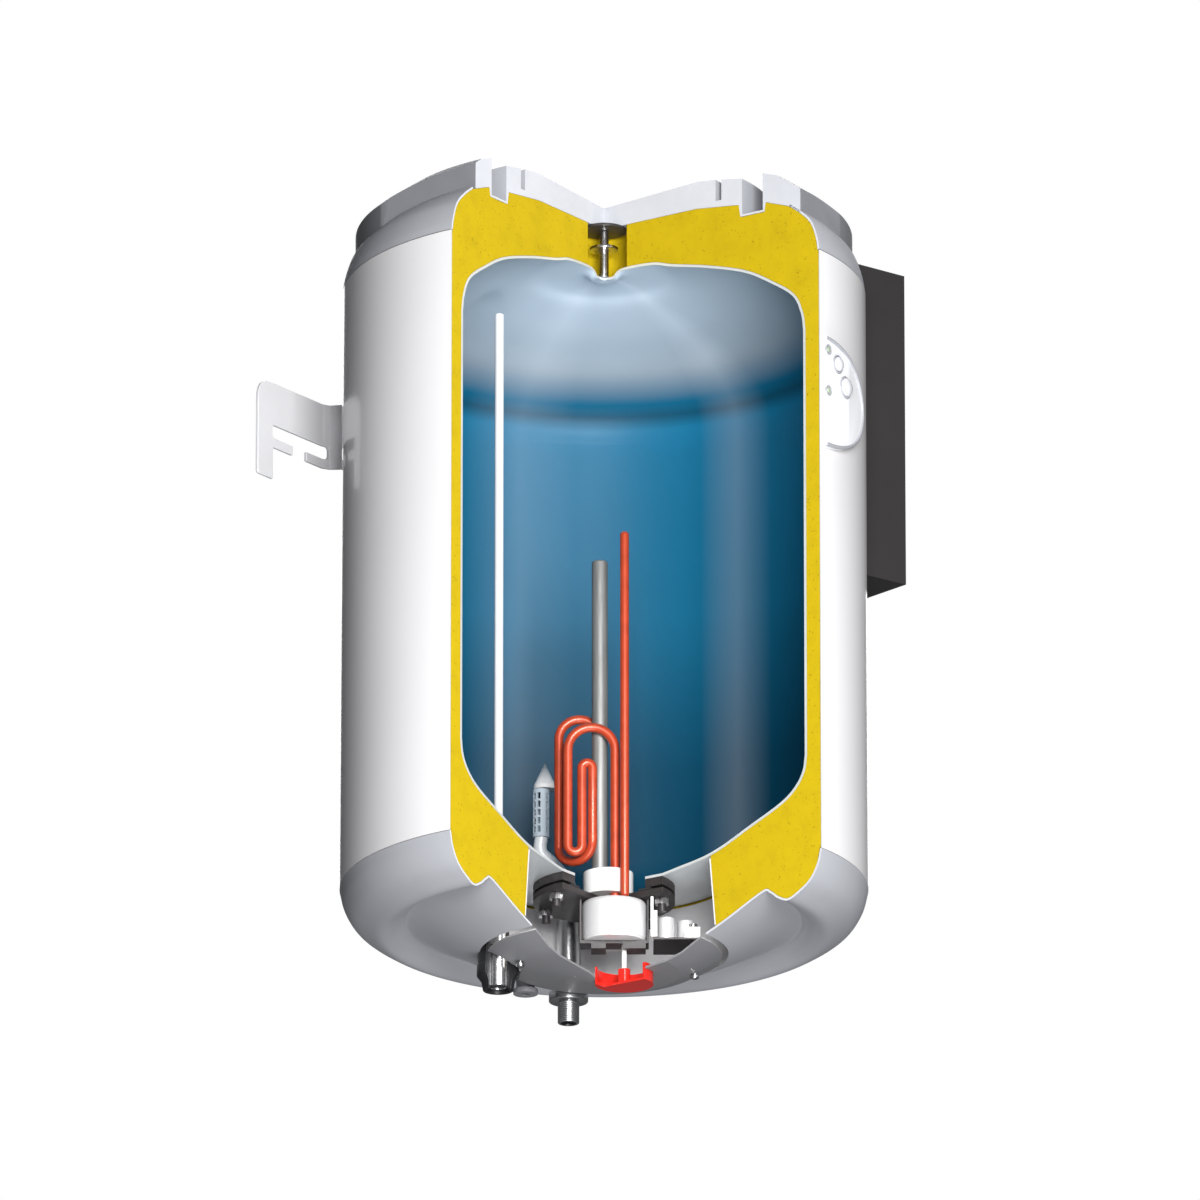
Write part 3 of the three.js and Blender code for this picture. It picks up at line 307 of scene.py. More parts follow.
def material(name):
    """Each finish is made once, on first use."""
    if name in MATERIALS:
        return MATERIALS[name]
    c = colours()
    steel = (0.62, 0.62, 0.63)
    makers = {
        "casing": lambda: grained("casing_enamel", c.casing, 0.3, 0.0, 0.5, 420, 0.00002, 0.03, cloud=5),
        "cap": lambda: grained("cap_plastic", c.cap, 0.46, grain=1500, depth=0.00005, variation=0.05),
        # The caps' cut faces: the same plastic with a coarser grain, and a paler tone that is painted light.
        "cap_cut_painted_light": lambda: grained("cap_cut_painted_light", shade(c.cap, 1.35), 0.6, grain=700, depth=0.0001, variation=0.1),
        # A darker copy of the cap plastic: painted shade on the crown's upright sides.
        "crown_wall_painted_shade": lambda: grained("crown_wall_painted_shade", shade(c.cap, 0.5), 0.5, grain=1300, depth=0.00005),
        "cover_inside": lambda: grained("cover_inside", (0.62, 0.62, 0.63), 0.5, grain=900, variation=0.05),
        "cover": lambda: grained("cover_plastic", c.cover, 0.42, grain=1500, depth=0.00005, variation=0.06),
        "foam": lambda: foam_material(c.foam, sizes().speckle),
        # The tank's finish carries painted light: a highlight in the crown, shade low down, and two reflection
        # streaks.
        "tank": lambda: tank_material(c.tank_painted_shade, c.tank_middle, c.tank_painted_highlight),
        "tank_cut": lambda: grained("tank_cut", (0.74, 0.78, 0.8), 0.35, 0.4, grain=1200, variation=0.12),
        "sleeve": lambda: grained("sleeve_plastic", (0.74, 0.73, 0.74), 0.55, grain=600, variation=0.05),
        "zinc": lambda: grained("zinc_plate", steel, 0.26, 1.0, grain=1400, variation=0.14, cloud=60),
        "bright": lambda: grained("bright_can", (0.82, 0.82, 0.83), 0.36, 0.35, grain=900, variation=0.05,
                                  stretch=(1, 1, 0.06)),
        "dark": lambda: grained("phosphated_steel", (0.045, 0.041, 0.042), 0.45, 0.35, grain=1000, variation=0.25,
                                cloud=50),
        "rubber": lambda: grained("moulded_rubber", (0.02, 0.02, 0.021), 0.7, grain=1600, depth=0.0001),
        "white": lambda: grained("white_plastic", (0.82, 0.82, 0.82), 0.36, grain=1200, variation=0.04),
        "element": lambda: grained("element_tube", c.element, 0.36, 0.25, 0.2, grain=800, variation=0.22,
                                   depth=0.00006, cloud=70),
        "anode": lambda: rod_material("cast_magnesium", (0.26, 0.265, 0.26), 0.5, 0.55),
        "dial": lambda: grained("dial_plastic", c.dial, 0.22, 0.0, 0.4, grain=900, variation=0.1),
        "pipe": lambda: grained("pale_pipe", (0.80, 0.83, 0.86), 0.3, 0.15, 0.2, grain=900, variation=0.06),
        "black": lambda: grained("black_plastic", (0.014, 0.014, 0.016), 0.35, grain=1100, depth=0.00008,
                                 variation=0.2),
        "cage": lambda: grained("cage_plastic", (0.50, 0.58, 0.65), 0.4, grain=900, variation=0.08),
        "bracket": lambda: grained("bracket_paint", (0.70, 0.70, 0.72), 0.36, 0.2, 0.15, grain=700, variation=0.05),
        "button": lambda: grained("button_plastic", (0.60, 0.60, 0.64), 0.25, 0.0, 0.4, grain=900, variation=0.04),
        "lens": lambda: grained("lamp_lens", (0.34, 0.40, 0.31), 0.2, 0.0, 0.5, grain=900, variation=0.1),
        "panel": lambda: grained("panel_plastic", (0.84, 0.85, 0.87), 0.3, 0.0, 0.3, grain=1300, variation=0.03),
        "rim": lambda: grained("panel_rim", (0.36, 0.37, 0.40), 0.35, 0.0, 0.2, grain=1300, variation=0.06),
        "housing": lambda: grained("housing_plastic", c.housing, 0.5, grain=1700, depth=0.00008, variation=0.12),
        "board": lambda: grained("circuit_board", (0.02, 0.11, 0.035), 0.4, grain=500, variation=0.35, cloud=90),
    }
    MATERIALS[name] = makers[name]()
    return MATERIALS[name]


# ---------------------------------------------------------------- shapes

def smooth_line(points, steps=10):
    """A curve through the points: on each span, the Catmull-Rom cubic of the four points about it."""
    p = np.asarray(points, float)
    padded = np.vstack([2 * p[0] - p[1], p, 2 * p[-1] - p[-2]])
    t = np.linspace(0, 1, steps, endpoint=False)[:, None]
    a, b, c, d = (padded[i:len(p) - 1 + i][:, None] for i in range(4))
    spans = 0.5 * (2 * b + (c - a) * t + (2 * a - 5 * b + 4 * c - d) * t ** 2
                   + (3 * b - a - 3 * c + d) * t ** 3)
    return np.vstack([spans.reshape(-1, p.shape[1]), p[-1:]])


def rounded(points, radius, closed=True, steps=4):
    """An outline whose corners are quadratic curves between points a radius either side of them."""
    p = np.asarray(points, float)
    before = np.roll(p, 1, 0) - p
    after = np.roll(p, -1, 0) - p
    len_before = np.linalg.norm(before, axis=1, keepdims=True)
    len_after = np.linalg.norm(after, axis=1, keepdims=True)
    cut = np.minimum(radius, 0.45 * np.minimum(len_before, len_after))
    start = p + before / len_before * cut
    end = p + after / len_after * cut
    t = np.linspace(0, 1, steps)[None, :, None]
    curve = (1 - t) ** 2 * start[:, None] + 2 * t * (1 - t) * p[:, None] + t ** 2 * end[:, None]
    if closed:
        return curve.reshape(-1, p.shape[1])
    return np.vstack([p[:1], curve[1:-1].reshape(-1, p.shape[1]), p[-1:]])


def offset_line(points, distance):
    """The same line moved sideways, to the left of its direction, along its own normals."""
    p = np.asarray(points, float)
    along = np.gradient(p, axis=0)
    along /= np.linalg.norm(along, axis=1, keepdims=True)
    moved = p + distance * np.stack([-along[:, 1], along[:, 0]], 1)
    moved[:, 0] = np.maximum(moved[:, 0], 0)
    return moved


def shell_profile(points, thickness):
    """A line and its offset, joined end to end, as a closed outline."""
    return np.vstack([points, offset_line(points, thickness)[::-1]])


def in_frame(points):
    """Millimetres about the tank's axis, to metres in the frame."""
    return np.asarray(points, float) * MM + np.array([0, AXIS_Y, BASE_Z])


def bundle(along, front):
    """A place in the element's plan: along the row of tubes, and in front of it."""
    return (math.cos(TURN) * along + math.sin(TURN) * front,
            math.sin(TURN) * along - math.cos(TURN) * front)


def make_object(name, vertices, faces, materials, face_materials=None, sharp=32.0):
    """A mesh object from vertices in metres and faces, smooth but for edges sharper than the angle."""
    mesh = bpy.data.meshes.new(name)
    mesh.from_pydata(np.asarray(vertices).tolist(), [], [list(map(int, face)) for face in faces])
    for entry in materials:
        mesh.materials.append(material(entry))
    if face_materials is not None:
        mesh.polygons.foreach_set("material_index", np.asarray(face_materials, np.int32))
    mesh.validate()
    tidy = bmesh.new()
    tidy.from_mesh(mesh)
    bmesh.ops.remove_doubles(tidy, verts=tidy.verts, dist=1e-6)
    bmesh.ops.recalc_face_normals(tidy, faces=tidy.faces)
    tidy.to_mesh(mesh)
    tidy.free()
    mesh.polygons.foreach_set("use_smooth", np.ones(len(mesh.polygons), bool))
    mesh.set_sharp_from_angle(angle=math.radians(sharp))
    made = bpy.data.objects.new(name, mesh)
    bpy.context.collection.objects.link(made)
    return made


def settle(made, nodes=(), body=SHELL):
    """Rides on its body and stands for its CAD nodes, which it hides."""
    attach(made, body)
    if nodes:
        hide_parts(*nodes)
    return made


def turned_mesh(profile, start, sweep, steps, centre=(0, 0)):
    """Profile points (r, z) turned about Z: x = r cos(a), y = r sin(a), over the sweep from the start angle."""
    p = np.asarray(profile, float)
    whole = abs(sweep - 360) < 1e-6
    angles = np.radians(start + np.linspace(0, sweep, steps + 1))
    if whole:
        angles = angles[:-1]
    x = centre[0] + p[None, :, 0] * np.cos(angles)[:, None]
    y = centre[1] + p[None, :, 0] * np.sin(angles)[:, None]
    z = np.broadcast_to(p[None, :, 1], x.shape)
    vertices = np.stack([x, y, z], -1).reshape(-1, 3)
    rows, count = len(angles), len(p)
    i = np.arange(rows if whole else rows - 1)[:, None]
    j = np.arange(count)[None, :]
    nxt_i, nxt_j = (i + 1) % rows, (j + 1) % count
    faces = np.stack(np.broadcast_arrays(
        i * count + j, nxt_i * count + j, nxt_i * count + nxt_j, i * count + nxt_j), -1)
    return vertices, faces.reshape(-1, 4), rows, count


def turned(name, profile, materials, centre=(0, 0), steps=48, bands=None):
    """A whole turned piece. The profile is closed, or starts and ends on the axis."""
    vertices, faces, _, count = turned_mesh(profile, 0, 360, steps, centre)
    indices = None if bands is None else np.tile(np.asarray(bands), len(faces) // count)
    return make_object(name, in_frame(vertices), faces, materials, indices)


def sector(name, profile, materials, bands=None, cut_index=0, steps=180, start=-90, sweep=270):
    """Three quarters of a turned piece, closed by its two flat cut faces."""
    vertices, faces, rows, count = turned_mesh(profile, start, sweep, steps)
    face_list = faces.tolist()
    first = list(range(count))
    last = [(rows - 1) * count + k for k in range(count)][::-1]
    indices = np.zeros(len(face_list), int) if bands is None else np.tile(
        np.asarray(bands), len(face_list) // count)
    face_list += [first, last]
    indices = np.append(indices, [cut_index, cut_index])
    return make_object(name, in_frame(vertices), face_list, materials, indices)


def swept(name, path, radius, side, materials, sides=20, looped=False):
    """A round tube along a path, each ring in the plane of the side direction and its cross with the tangent."""
    p = np.asarray(path, float)[:-1] if looped else np.asarray(path, float)
    tangent = np.roll(p, -1, 0) - np.roll(p, 1, 0) if looped else np.gradient(p, axis=0)
    tangent /= np.linalg.norm(tangent, axis=1, keepdims=True)
    side = np.asarray(side, float)
    first = side - (tangent @ side)[:, None] * tangent
    first /= np.linalg.norm(first, axis=1, keepdims=True)
    second = np.cross(tangent, first)
    a = np.linspace(0, 2 * np.pi, sides, endpoint=False)[None, :, None]
    ring = p[:, None] + radius * (np.cos(a) * first[:, None] + np.sin(a) * second[:, None])
    rows = len(p)
    i = np.arange(rows if looped else rows - 1)[:, None]
    n = (i + 1) % rows
    j = np.arange(sides)[None, :]
    faces = np.stack(np.broadcast_arrays(
        i * sides + j, i * sides + (j + 1) % sides, n * sides + (j + 1) % sides, n * sides + j), -1)
    ends = [] if looped else [list(range(sides))[::-1], [(rows - 1) * sides + k for k in range(sides)]]
    return make_object(name, in_frame(ring.reshape(-1, 3)), faces.reshape(-1, 4).tolist() + ends, materials)


def soften(made, width, segments=3):
    """A bevel on every sharp edge."""
    edge = made.modifiers.new("edges", "BEVEL")
    edge.width = width * MM
    edge.segments = segments
    edge.limit_method = "ANGLE"
    edge.angle_limit = math.radians(32)
    edge.harden_normals = True


def from_node(name, node, materials, bevel=0.4):
    """A copy of a CAD node's shape, merged, its flat faces joined, with softened edges."""
    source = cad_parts[node].data
    mesh = source.copy()
    mesh.name = name
    work = bmesh.new()
    work.from_mesh(mesh)
    bmesh.ops.remove_doubles(work, verts=work.verts, dist=2e-6)
    bmesh.ops.dissolve_limit(work, angle_limit=math.radians(1), verts=work.verts, edges=work.edges)
    bmesh.ops.recalc_face_normals(work, faces=work.faces)
    work.to_mesh(mesh)
    work.free()
    mesh.materials.clear()
    for entry in materials:
        mesh.materials.append(material(entry))
    mesh.polygons.foreach_set("material_index", np.zeros(len(mesh.polygons), np.int32))
    mesh.polygons.foreach_set("use_smooth", np.ones(len(mesh.polygons), bool))
    mesh.set_sharp_from_angle(angle=math.radians(32))
    made = bpy.data.objects.new(name, mesh)
    bpy.context.collection.objects.link(made)
    if bevel:
        soften(made, bevel)
    return made


def pipe_profile(outer, bore, z0, z1, ease=0.6):
    """The closed outline of a pipe's wall, with eased corners."""
    return rounded([(bore, z0), (outer, z0), (outer, z1), (bore, z1)], ease)


def rod_profile(radius, z0, z1, ease=1.0):
    """A solid rod's outline from axis to axis, with eased ends."""
    t = np.linspace(0, np.pi / 2, 6)
    low = np.column_stack([radius - ease + ease * np.sin(t), z0 + ease - ease * np.cos(t)])
    high = np.column_stack([radius - ease + ease * np.cos(t), z1 - ease + ease * np.sin(t)])
    return np.vstack([[0, z0], low, high, [0, z1]])


def thread_profile(radius, bore, z0, z1, pitch=1.8, depth=0.8):
    """A pipe's outline whose outside follows a zigzag of thread crests and roots."""
    turns = int((z1 - z0) / pitch)
    heights = np.linspace(z0, z1, 2 * turns + 1)
    radii = radius - depth * (np.arange(2 * turns + 1) % 2 == 0)
    return np.vstack([[bore, z0], np.column_stack([radii, heights]), [bore, z1]])


# ---------------------------------------------------------------- lines of the shells

def lid_underside():
    rim = R - SKIN - GAP
    return np.array([
        (0, 68.5), (108.5, 68.5), (158.4, 62.9), (160.4, 50.4), (188.6, 50.4), (190.1, 59.5), (217, 50.4),
        (229.4, 41.4), (240, 31.3), (rim - 5.2, 22.3), (rim - 1.4, 9.7), (rim, GAP)]) + [0, H]


def lower_cap_line():
    rows = np.array([(0, -0.3), (3.9, -15.1), (12.5, -29.2), (25.9, -39.2), (39.4, -45.2), (50.9, -41.2),
                     (60.5, -34.2), (69.1, -33.2), (108.5, -52.3), (133.5, -63.3)])
    return smooth_line(np.column_stack([R - rows[:, 0], rows[:, 1]]), 8)


def tank_line():
    base = np.array([(0.33, 1.5), (0.535, 11), (0.733, 31), (0.881, 47), (0.952, 60), (0.989, 74), (1, 89)])
    crown = np.array([(1, 100), (0.988, 83), (0.947, 64), (0.836, 46), (0.708, 30), (0.523, 17), (0.342, 7.5),
                      (0.243, 1.5), (0.094, 0.5), (0.05, 6.5), (0, 6.5)])
    low = smooth_line(np.column_stack([base[:, 0] * TANK_INNER, TANK_BASE + base[:, 1]]), 6)
    high = smooth_line(np.column_stack([crown[:, 0] * TANK_INNER, CROWN - crown[:, 1]]), 6)
    return np.vstack([[(48, TANK_BASE), (68, TANK_BASE)], low, high])


def at_radius(line, radius):
    """Height of a line where it first crosses a radius."""
    p = np.asarray(line)
    k = np.nonzero((p[:-1, 0] - radius) * (p[1:, 0] - radius) <= 0)[0][0]
    share = (radius - p[k, 0]) / (p[k + 1, 0] - p[k, 0])
    return p[k, 1] + share * (p[k + 1, 1] - p[k, 1])


# ---------------------------------------------------------------- operators

class HEATER_OT_casing(bpy.types.Operator):
    """Build the enamelled steel casing with its rolled edges"""
    bl_idname = "heater.casing"
    bl_label = "Casing"

    def execute(self, context):
        profile = rounded([(R, 0.3), (R, H - 0.3), (R - 1, H - 0.3), (R - 1, 0.3)], 0.4)
        bands = np.zeros(len(profile), int)
        made = sector("casing_jacket", profile, ["casing", "tank_cut"], bands, 1)
        settle(made, ["casing_mantle"])
        return {"FINISHED"}


class HEATER_OT_lid(bpy.types.Operator):
    """Build the moulded lid: a raised crown with two flats, its grooves, and the skirt over the casing"""
    bl_idname = "heater.lid"
    bl_label = "Lid"

    def execute(self, context):
        under = lid_underside()
        top = np.array([
            (240, 36), (240, 58), (230.4, 65.9), (213.1, 77.6), (203.5, 84.1), (186.6, 89.6), (186.6, 52.4),
            (162.4, 52.4), (162.4, 88.6), (138.2, 92.5), (138.2, 72), (131.5, 72), (131.5, 93.4), (110.4, 95.6),
            (0, 89.6)]) + [0, H]
        body = np.vstack([under[:9], top])
        crown = sector("lid_crown", body, ["cap", "cap_cut_painted_light", "crown_wall_painted_shade"], np.zeros(len(body), int), 1)
        self.trim(crown)
        # The crown's upright outer sides take the darker copy of the cap plastic: painted shade where they turn
        # away from the light.
        for face in crown.data.polygons:
            out = math.hypot(face.center.x, face.center.y - AXIS_Y)
            upright = abs(face.normal.z) < 0.75 and out > 0.8 * R * MM
            if upright and face.material_index == 0 and face.center.z > BASE_Z + (H + 30) * MM:
                face.material_index = 2
        settle(crown, ["top_cap"])
        skirt_line = smooth_line(under[6:], 8)
        skirt = sector("lid_skirt", shell_profile(skirt_line, SKIN), ["cap", "cap_cut_painted_light"], None, 1)
        settle(skirt, ["top_cap"])
        return {"FINISHED"}

    @staticmethod
    def trim(made):
        """Cut the crown's sides flat: fronts and backs at one distance, sides at another."""
        work = bmesh.new()
        work.from_mesh(made.data)
        for normal, distance in (((1, 0, 0), 213), ((0, 1, 0), 230.4), ((0, -1, 0), 230.4), ((-1, 0, 0), 213)):
            point = Vector((normal[0] * distance * MM, AXIS_Y + normal[1] * distance * MM, 0))
            geometry = list(work.verts) + list(work.edges) + list(work.faces)
            cut = bmesh.ops.bisect_plane(work, geom=geometry, plane_co=point, plane_no=normal, clear_outer=True)
            edges = [item for item in cut["geom_cut"] if isinstance(item, bmesh.types.BMEdge)]
            bmesh.ops.holes_fill(work, edges=edges)
        bmesh.ops.recalc_face_normals(work, faces=work.faces)
        work.to_mesh(made.data)
        work.free()
        made.data.set_sharp_from_angle(angle=math.radians(30))


class HEATER_OT_lower_cap(bpy.types.Operator):
    """Build the moulded lower cap with its ring-shaped valley"""
    bl_idname = "heater.lower_cap"
    bl_label = "Lower cap"

    def execute(self, context):
        profile = shell_profile(lower_cap_line(), -SKIN)
        made = sector("lower_cap", profile, ["cap", "cap_cut_painted_light"], None, 1)
        settle(made, ["bottom_cap"])
        return {"FINISHED"}


class HEATER_OT_foam(bpy.types.Operator):
    """Build the rigid foam between casing and tank, and the sleeve round the service hole"""
    bl_idname = "heater.foam"
    bl_label = "Foam"

    def execute(self, context):
        inside = offset_line(tank_line(), -TANK_WALL - GAP)[::-1]
        upper = inside[(inside[:, 1] > H / 2) & (inside[:, 0] > 27)]
        lower = inside[(inside[:, 1] < H / 2) & (inside[:, 0] > 124)]
        cap = offset_line(lower_cap_line(), -SKIN - GAP)
        cap = cap[(cap[:, 0] > 130) & (cap[:, 0] < R - 6)][::-1]
        under = offset_line(smooth_line(lid_underside()[6:], 8), -GAP)
        flat = lid_underside()[1:6] - [0, GAP]
        flat[2:4, 1] -= 0.2
        top = np.vstack([[(27, H + 68.2)], flat, under[under[:, 0] < R - 4]])
        rim = R - SKIN - 3 * GAP
        side = np.array([(rim - 1, 0), (R - 1.3, 4), (R - 1.3, H - 4), (rim, H)])
        low_z = at_radius(inside[inside[:, 1] < H / 2], 124)
        base_z = at_radius(offset_line(lower_cap_line(), -SKIN - GAP), 130)
        profile = np.vstack([[(27, at_radius(inside, 27))], upper, lower, [(124, low_z), (130, base_z)], cap, side,
                             top[::-1]])
        made = sector("foam_body", profile, ["foam"])
        settle(made, ["foam_insulation"])
        sleeve = rounded([
            (123.7, low_z - 2.5), (122.5, low_z - 2.5), (128.5, base_z + 1), (129.7, base_z + 1)], 0.3)
        settle(sector("service_sleeve", sleeve, ["sleeve"]), ["foam_dam"])
        return {"FINISHED"}


class HEATER_OT_tank(bpy.types.Operator):
    """Build the enamelled tank: blue inside, bare steel on its cut edge"""
    bl_idname = "heater.tank"
    bl_label = "Tank"

    def execute(self, context):
        line = tank_line()
        profile = shell_profile(line, -TANK_WALL)
        bands = np.array([0] * len(line) + [1] * (len(profile) - len(line)))
        made = sector("tank_enamelled", profile, ["tank", "tank_cut"], bands, 1)
        settle(made, ["tank_shell"])
        return {"FINISHED"}


class HEATER_OT_cover(bpy.types.Operator):
    """Give the service cover its moulded finish and build its two screws"""
    bl_idname = "heater.cover"
    bl_label = "Service cover"

    def execute(self, context):
        skin = from_node("service_cover_skin", "service_cover", ["cover", "cover_inside"], 0)
        for face in skin.data.polygons:
            face.material_index = 1 if face.normal.z > 0.35 else 0
        settle(skin, ["service_cover"])
        for number in (1, 2):
            node = f"cover_screw_{number}"
            base = heights_of(node)[0]
            profile = np.array([(0, base + 1.2), (1.6, base + 1.2), (1.6, base), (3.4, base), (4.2, base + 1.2),
                                (4.2, base + 2.8), (2.2, base + 2.8), (2.2, base + 16), (0, base + 16.6)])
            made = turned(f"cover_screw_head_{number}", profile, ["zinc"], centre_of(node), 32)
            settle(made, [node])
        return {"FINISHED"}


class HEATER_OT_flange(bpy.types.Operator):
    """Build the flange: ring and studs, gasket, plate, and chamfered hexagon nuts"""
    bl_idname = "heater.flange"
    bl_label = "Flange"

    def execute(self, context):
        settle(from_node("flange_ring_steel", "flange_ring", ["dark"], 0.5), ["flange_ring"])
        settle(from_node("flange_plate_steel", "flange_plate", ["dark"], 0.5), ["flange_plate"])
        settle(from_node("flange_gasket_ring", "flange_gasket", ["rubber"], 0.4),
               ["flange_gasket"])
        settle(from_node("element_boss_moulding", "element_boss", ["white"], 0.8),
               ["element_boss"])
        for number in range(1, 6):
            node = f"flange_nut_{number}"
            settle(self.nut(node), [node])
        return {"FINISHED"}

    @staticmethod
    def nut(node):
        """A hexagon with its corners cut back by a cone at both ends: the lesser radius of the two."""
        centre = centre_of(node)
        z0, z1 = heights_of(node)
        angles = np.linspace(0, 2 * np.pi, 72, endpoint=False)
        hexagon = 6.4 / np.cos((angles + np.pi / 6) % (np.pi / 3) - np.pi / 6)
        heights = np.array([z0, z0, z0 + 0.8, z1 - 0.8, z1, z1])
        limits = np.array([4.4, 6.6, 7.4, 7.4, 6.6, 4.4])
        radii = np.minimum(hexagon[:, None], limits[None, :])
        x = centre[0] + radii * np.cos(angles)[:, None]
        y = centre[1] + radii * np.sin(angles)[:, None]
        vertices = np.stack([x, y, np.broadcast_to(heights, x.shape)], -1).reshape(-1, 3)
        count = len(heights)
        i = np.arange(len(angles))[:, None]
        j = np.arange(count)[None, :]
        faces = np.stack(np.broadcast_arrays(
            i * count + j, (i + 1) % len(angles) * count + j, (i + 1) % len(angles) * count + (j + 1) % count,
            i * count + (j + 1) % count), -1).reshape(-1, 4)
        return make_object(node + "_hexagon", in_frame(vertices), faces, ["zinc"], sharp=25)


def half_turn(start, end, height, up, front_start, front_end, steps=16):
    """A half circle from one leg to the next, with the front distance moving evenly."""
    t = np.linspace(0, np.pi, steps)
    along = (start + end) / 2 + (start - end) / 2 * np.cos(t)
    front = np.linspace(front_start, front_end, steps)
    x, y = bundle(along, front)
    return np.column_stack([x, y, height + up * abs(start - end) / 2 * np.sin(t)])


class HEATER_OT_element(bpy.types.Operator):
    """Build the folded heating element, the anode rod and the thermostat pocket"""
    bl_idname = "heater.element"
    bl_label = "Element, anode and pocket"

    def execute(self, context):
        s = sizes()
        low = heights_of("heating_element")[0]
        leg = lambda along, front, z: np.array([[*bundle(along, front), z]])
        path = np.vstack([
            leg(10.6, 14, low), leg(10.6, 14, 40), half_turn(10.6, -34.6, 136, 1, 14, 14),
            half_turn(-34.6, -21.1, 41, -1, 14, 14), half_turn(-21.1, -11, 118, 1, 14, 14),
            half_turn(-11, -43.2, 45, -1, 14, -14), half_turn(-43.2, -3.8, 155, 1, -14, -14),
            leg(-3.8, -14, 40), leg(-3.8, -14, low)])
        side = (*bundle(0, 1), 0)
        made = swept("element_tube", path, s.tube_radius / MM, side, ["element"], 24)
        settle(made, ["heating_element"])
        anode = bundle(-4, 0)
        profile = np.vstack([[(0, low), (4, low), (4, 16.3)], rod_profile(s.anode_radius / MM, 16.3, 329, 2)[1:]])
        settle(turned("anode_casting", profile, ["anode"], anode), ["anode_rod"])
        pocket = rod_profile(s.pocket_radius / MM, low, 351, 3.4)
        settle(turned("pocket_tube", pocket, ["element"], bundle(19.7, 26)),
               ["thermostat_pocket"])
        return {"FINISHED"}


class HEATER_OT_thermostat(bpy.types.Operator):
    """Build the thermostat can, its frame, the stem and the dial"""
    bl_idname = "heater.thermostat"
    bl_label = "Thermostat"

    def execute(self, context):
        can = rounded([
            (0.01, -54), (30, -54), (30, -52.5), (31, -51.5), (31, -18), (29.5, -15), (0.01, -15)], 0.8)
        can = np.vstack([[(0, -54)], can[4:-4], [(0, -15)]])
        made = turned("thermostat_can", can, ["bright"], (0, THERMOSTAT_Y), 96)
        settle(made, ["thermostat_body"])
        settle(from_node("thermostat_clip", "thermostat_frame", ["dark"], 0.4),
               ["thermostat_frame"])
        stem = rod_profile(2.4, *heights_of("adjuster_stem"), 0.5)
        made = turned("stem_rod", stem, ["white"], centre_of("adjuster_stem"), 32)
        settle(made, ["adjuster_stem"], "dial")
        cup = from_node("dial_cup", "adjuster_dial", ["dial", "white"], 0.5)
        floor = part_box("adjuster_dial")[0][2] + 2.0 * MM
        for face in cup.data.polygons:
            if face.normal.z > 0.9 and face.center.z > floor:
                face.material_index = 1
        settle(cup, ["adjuster_dial"], "dial")
        return {"FINISHED"}


class HEATER_OT_terminals(bpy.types.Operator):
    """Build the terminal bracket, its posts, the terminal block and the cable clamp"""
    bl_idname = "heater.terminals"
    bl_label = "Terminals"

    def execute(self, context):
        settle(from_node("terminal_deck", "terminal_bracket", ["dark"], 0.4), ["terminal_bracket"])
        settle(from_node("terminal_housing", "terminal_block", ["white"], 0.8), ["terminal_block"])
        settle(from_node("clamp_moulding", "cable_clamp", ["white"], 0.8), ["cable_clamp"])
        settle(from_node("clamp_screw_steel", "clamp_screw", ["zinc"], 0.3), ["clamp_screw"])
        for number in (1, 2):
            node = f"bracket_post_{number}"
            post = rod_profile(8, *heights_of(node), 0.8)
            made = turned(f"post_{number}", post, ["bright"], centre_of(node), 48)
            settle(made, [node])
        return {"FINISHED"}


class HEATER_OT_pipes(bpy.types.Operator):
    """Build the nipples with their threads, the insulating union, and the pipes inside the tank"""
    bl_idname = "heater.pipes"
    bl_label = "Pipes"

    def execute(self, context):
        hot, cold = centre_of("hot_nipple"), centre_of("cold_nipple")
        thread = thread_profile(NIPPLE_RADIUS, NIPPLE_BORE, -105, -85)
        hot_wall = pipe_profile(NIPPLE_RADIUS, NIPPLE_BORE, *heights_of("hot_nipple"), 0.8)
        settle(turned("hot_nipple_steel", hot_wall, ["zinc"], hot, 64), ["hot_nipple"])
        nut = rounded([(10.6, -84), (18.9, -84), (18.9, -74), (10.6, -74)], 1.5)[3:-3]
        cold_wall = np.vstack([thread[:-1], nut, [(NIPPLE_RADIUS, NIPPLE_TOP), (NIPPLE_BORE, NIPPLE_TOP)]])
        settle(turned("cold_nipple_steel", cold_wall, ["zinc"], cold, 64), ["cold_nipple"])
        settle(from_node("union_moulding", "dielectric_union", ["black"], 0.5),
               ["dielectric_union"])
        top = heights_of("hot_outlet_tube")[1]
        foot = NIPPLE_TOP + GAP
        tube = np.array([
            (HOT_TUBE_BORE, foot), (9.3, foot), (9.5, 23), (9.5, 26), (8.6, 27), (HOT_TUBE_RADIUS, 27.4),
            (HOT_TUBE_RADIUS, top - 0.6), (HOT_TUBE_RADIUS - 0.5, top), (HOT_TUBE_BORE, top)])
        settle(turned("hot_tube", tube, ["pipe"], hot, 40), ["hot_outlet_tube"])
        cage = bundle(-60.5, -95)
        middle = ((cold[0] + cage[0]) / 2, (cold[1] + cage[1]) / 2)
        path = smooth_line([(*cold, foot), (*cold, 34), (*middle, 52), (*cage, 66), (*cage, 80)], 12)
        bend = swept("cold_pipe_bend", path, COLD_PIPE_RADIUS, (0, 0.3, 1), ["pipe"], 24)
        settle(bend, ["cold_inlet_pipe"])
        settle(from_node("diffuser_cage", "cold_diffuser_cage", ["cage"], 0.2),
               ["cold_diffuser_cage"])
        settle(from_node("diffuser_cap", "diffuser_hood", ["white"], 0.3), ["diffuser_hood"])
        settle(from_node("gland_body", "cable_gland", ["cover"], 0.4), ["cable_gland"])
        return {"FINISHED"}


